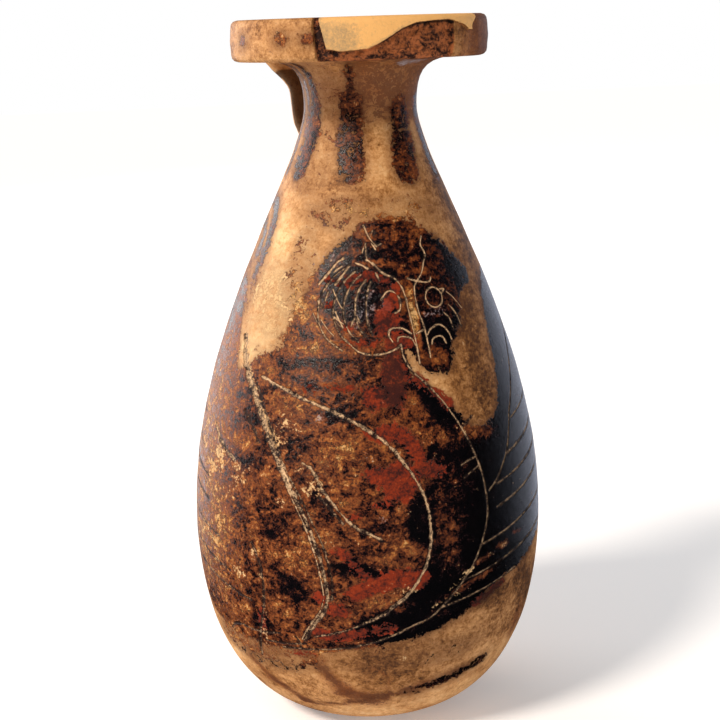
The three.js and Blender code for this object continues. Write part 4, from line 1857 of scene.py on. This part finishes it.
        # Slip that has burnt is uneven too, and the more so the further it has gone.
        rough = self.swayed(tree, 0.0, (lumps, self.wear_lumps), (specks, self.wear_specks))
        more, least = self.wear_spread
        loose = add_node(tree, "Math", {0: layers[Layer.BURN], 1: more, 2: least}, operation="MULTIPLY_ADD")
        burnt = add_node(tree, "Math", {0: rough, 1: loose, 2: layers[Layer.BURN]}, operation="MULTIPLY_ADD")
        slip = add_node(tree, "ValToRGB", {"Fac": burnt}, stops=self.slip_stops)
        slip = self.weathered(tree, slip, lumps, specks, layers[Layer.BURN])
        coats.append((self.slip, slip))
        coats += [(coat, self.colour_of(tree, coat, lumps, layers)) for coat in self.over_coats]

        # Whole slip has a clear highlight, which goes as the slip wears.
        least, most = self.glossy
        gloss = add_node(tree, "MapRange", {
            "Value": burnt, "From Min": 0.3, "From Max": 0.7, "To Min": least, "To Max": most,
        })
        dull = self.dullness
        height = self.swayed(tree, 0.0, (lumps, self.pitting))
        height = add_node(tree, "Math", {0: burnt, 1: -0.4, 2: height}, operation="MULTIPLY_ADD")
        for coat, coat_colour in coats:
            moved = self.swayed(tree, layers[coat.layer], (lumps, coat.noises))
            share = add_node(tree, "MapRange", {
                "Value": moved, "From Min": coat.low, "From Max": coat.high, "To Max": coat.opacity,
            }, interpolation_type="SMOOTHSTEP")
            colour = add_node(tree, "Mix", {0: share, 6: colour, 7: coat_colour}, 2, data_type="RGBA")
            roughness = gloss if coat is self.slip else coat.roughness
            dull = add_node(tree, "Mix", {0: share, 2: dull, 3: roughness})
            height = add_node(tree, "Math", {0: share, 1: coat.height, 2: height}, operation="MULTIPLY_ADD")
        bump = add_node(tree, "Bump", {"Strength": 0.8, "Distance": self.bump_mm * MM, "Height": height})
        shader = add_node(tree, "BsdfPrincipled", {
            "Base Color": colour, "Roughness": dull, "IOR": 1.5, "Specular IOR Level": self.shine,
            "Normal": bump,
        })
        add_node(tree, "OutputMaterial", {"Surface": shader})
        return material

    def colour_of(
        self,
        tree: bpy.types.NodeTree,
        coat: Coat,
        lumps: bpy.types.NodeSocket,
        layers: dict[Layer, bpy.types.NodeSocket],
    ) -> bpy.types.NodeSocket:
        """A coat's colour at the shaded point.

        Args:
            tree: The material's node tree.
            coat: The coat.
            lumps: The noises' vector.
            layers: The vertex attributes' sockets.

        Returns:
            The colour's socket.
        """
        dark, light = coat.colours
        middle = layers[coat.tone] if coat.tone else 0.5
        wander = self.swayed(tree, middle, (lumps, coat.wander))
        return add_node(tree, "ValToRGB", {"Fac": wander}, stops=((0.2, dark), (0.8, light)))

    def weathered(
        self,
        tree: bpy.types.NodeTree,
        slip: bpy.types.NodeSocket,
        lumps: bpy.types.NodeSocket,
        specks: bpy.types.NodeSocket,
        burn: bpy.types.NodeSocket,
    ) -> bpy.types.NodeSocket:
        """The slip's colour with crackle lines, scratches and pale flecks, denser where it is worn.

        Args:
            tree: The material's node tree.
            slip: The slip's colour.
            lumps: The vector of mottle, flakes and grain.
            specks: The vector of clouds, specks and streaks.
            burn: How far the slip has worn.

        Returns:
            The colour's socket.
        """
        marks = (
            (specks, (0.0, 1.0, 0.35), (0.038, 0.014), (4.0, 2.0, 0.0)),
            (lumps, (0.0, 1.0, 0.2), (0.032, 0.012), (-4.0, 0.0, 1.0)),
        )
        crackle = linear(self.crackle_colour)
        for source, weights, (wide, narrow), where in marks:
            across = self.swayed(tree, 0.0, (source, weights))
            line = add_node(tree, "Math", {0: across}, operation="ABSOLUTE")
            share = add_node(tree, "MapRange", {
                "Value": line, "From Min": wide, "From Max": narrow, "To Max": self.crackle_share,
            }, interpolation_type="SMOOTHSTEP")
            patchy = self.swayed(tree, burn, (lumps, where))
            patchy = add_node(tree, "MapRange", {"Value": patchy, "From Min": 0.25, "From Max": 0.95})
            share = add_node(tree, "Math", {0: share, 1: patchy}, operation="MULTIPLY")
            slip = add_node(tree, "Mix", {0: share, 6: slip, 7: crackle}, 2, data_type="RGBA")
        pale = add_node(tree, "Math", {0: burn, 1: 0.16}, operation="MULTIPLY")
        pale = self.swayed(tree, pale, (specks, self.fleck_specks), (lumps, self.fleck_lumps))
        fleck = add_node(tree, "MapRange", {
            "Value": pale, "From Min": 0.32, "From Max": 0.4, "To Max": self.fleck_share,
        }, interpolation_type="SMOOTHSTEP")
        return add_node(tree, "Mix", {0: fleck, 6: slip, 7: linear(self.fleck_colour)}, 2, data_type="RGBA")


def direction(azimuth: float, elevation: float) -> Vector:
    """The way out from the flask at an azimuth and an elevation in degrees."""
    turn, rise = math.radians(azimuth), math.radians(elevation)
    return Vector((math.sin(turn) * math.cos(rise), -math.cos(turn) * math.cos(rise), math.sin(rise)))


@dataclass(frozen=True)
class Lamp:
    """One light. Its azimuth is counted from the camera's.

    How soft it is says a sun's angle in degrees, or an area's size in metres.
    """

    kind: str
    azimuth: float
    elevation: float
    power: float
    colour: str
    soft: float


@dataclass(frozen=True)
class Studio:
    """A pale floor, soft light and the camera; distances are in metres."""

    azimuth: float = -29.0
    elevation: float = 12.5
    distance: float = 0.195
    aim_height: float = 0.0455
    roll: float = -1.07
    lens: float = 75.0
    shift: float = -4.93 / 720
    floor_size: float = 3.0
    floor_colour: str = "#f4f4f4"
    floor_glow: float = 0.25
    ambient: float = 0.34
    lamp_distance: float = 0.6
    lamps: tuple[Lamp, ...] = (
        Lamp("SUN", -48, 42, 2.95, "#fff3e6", 14.0),
        Lamp("AREA", 144, 0, 0.9, "#e6ebff", 0.5),
        Lamp("AREA", -130, 6, 4.2, "#f4eeee", 0.6),
    )

    def camera(self) -> None:
        """Sets the camera at the photograph's viewing angle."""
        bpy.ops.object.camera_add()
        camera = bpy.context.object
        towards = direction(self.azimuth, self.elevation)
        place = Matrix.Translation(Vector((0, 0, self.aim_height)) + self.distance * towards)
        look = towards.to_track_quat("Z", "Y").to_matrix().to_4x4()
        camera.matrix_world = place @ look @ Matrix.Rotation(math.radians(self.roll), 4, "Z")
        camera.data.lens = self.lens
        camera.data.sensor_width = 36.0
        camera.data.shift_x = self.shift
        camera.data.clip_start = 0.005
        bpy.context.scene.camera = camera

    def floor(self) -> None:
        """Lays the pale floor: even and matt, and light enough to end in white as in the photograph."""
        bpy.ops.mesh.primitive_plane_add(size=self.floor_size)
        floor = bpy.context.object
        floor.name = "floor"
        material = bpy.data.materials.new("pale_floor")
        material.use_nodes = True
        shader = material.node_tree.nodes["Principled BSDF"]
        colour = linear(self.floor_colour)
        for name, value in (
            ("Base Color", colour), ("Roughness", 0.9), ("Specular IOR Level", 0.0),
            ("Emission Color", colour), ("Emission Strength", self.floor_glow),
        ):
            shader.inputs[name].default_value = value
        floor.visible_glossy = False
        floor.data.materials.append(material)

    def shine(self, lamp: Lamp) -> None:
        """Adds one light that points at the flask.

        Args:
            lamp: The light.
        """
        towards = direction(self.azimuth + lamp.azimuth, lamp.elevation)
        place = Vector((0, 0, self.aim_height)) + self.lamp_distance * towards
        bpy.ops.object.light_add(type=lamp.kind, location=place)
        made = bpy.context.object
        made.rotation_euler = towards.to_track_quat("Z", "Y").to_euler()
        made.data.energy = lamp.power
        made.data.color = linear(lamp.colour)[:3]
        if lamp.kind == "SUN":
            made.data.angle = math.radians(lamp.soft)
        else:
            made.data.size = lamp.soft

    def light(self) -> None:
        """Lights the scene softly from the upper left, with white surroundings."""
        scene = bpy.context.scene
        scene.world = bpy.data.worlds.new("white_room")
        scene.world.use_nodes = True
        tree = scene.world.node_tree
        tree.nodes.clear()
        seen = add_node(tree, "LightPath", {}, "Is Camera Ray")
        strength = add_node(tree, "MapRange", {"Value": seen, "To Min": self.ambient, "To Max": 1.0})
        sky = add_node(tree, "Background", {"Color": (1, 1, 1, 1), "Strength": strength})
        add_node(tree, "OutputWorld", {"Surface": sky})
        scene.world.cycles_visibility.glossy = False
        for lamp in self.lamps:
            self.shine(lamp)
        scene.view_settings.view_transform = "Standard"


def main() -> None:
    """Builds the flask and the studio."""
    logging.basicConfig(level=logging.INFO, format="%(name)s: %(message)s")
    low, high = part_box(NODE)
    lift = Flask.lift
    shape = ThrownShape(belly_radius=(high.x - low.x) / 2 / MM, top=high.z / MM - lift / 2)
    flask = Flask(shape)
    piece = flask.build()
    piece.data.materials.clear()
    piece.data.materials.append(PaintedClay().make())
    log.info("%s: %d faces", piece.name, len(piece.data.polygons))
    studio = Studio()
    studio.camera()
    studio.floor()
    studio.light()


if __name__ == "__main__":
    main()
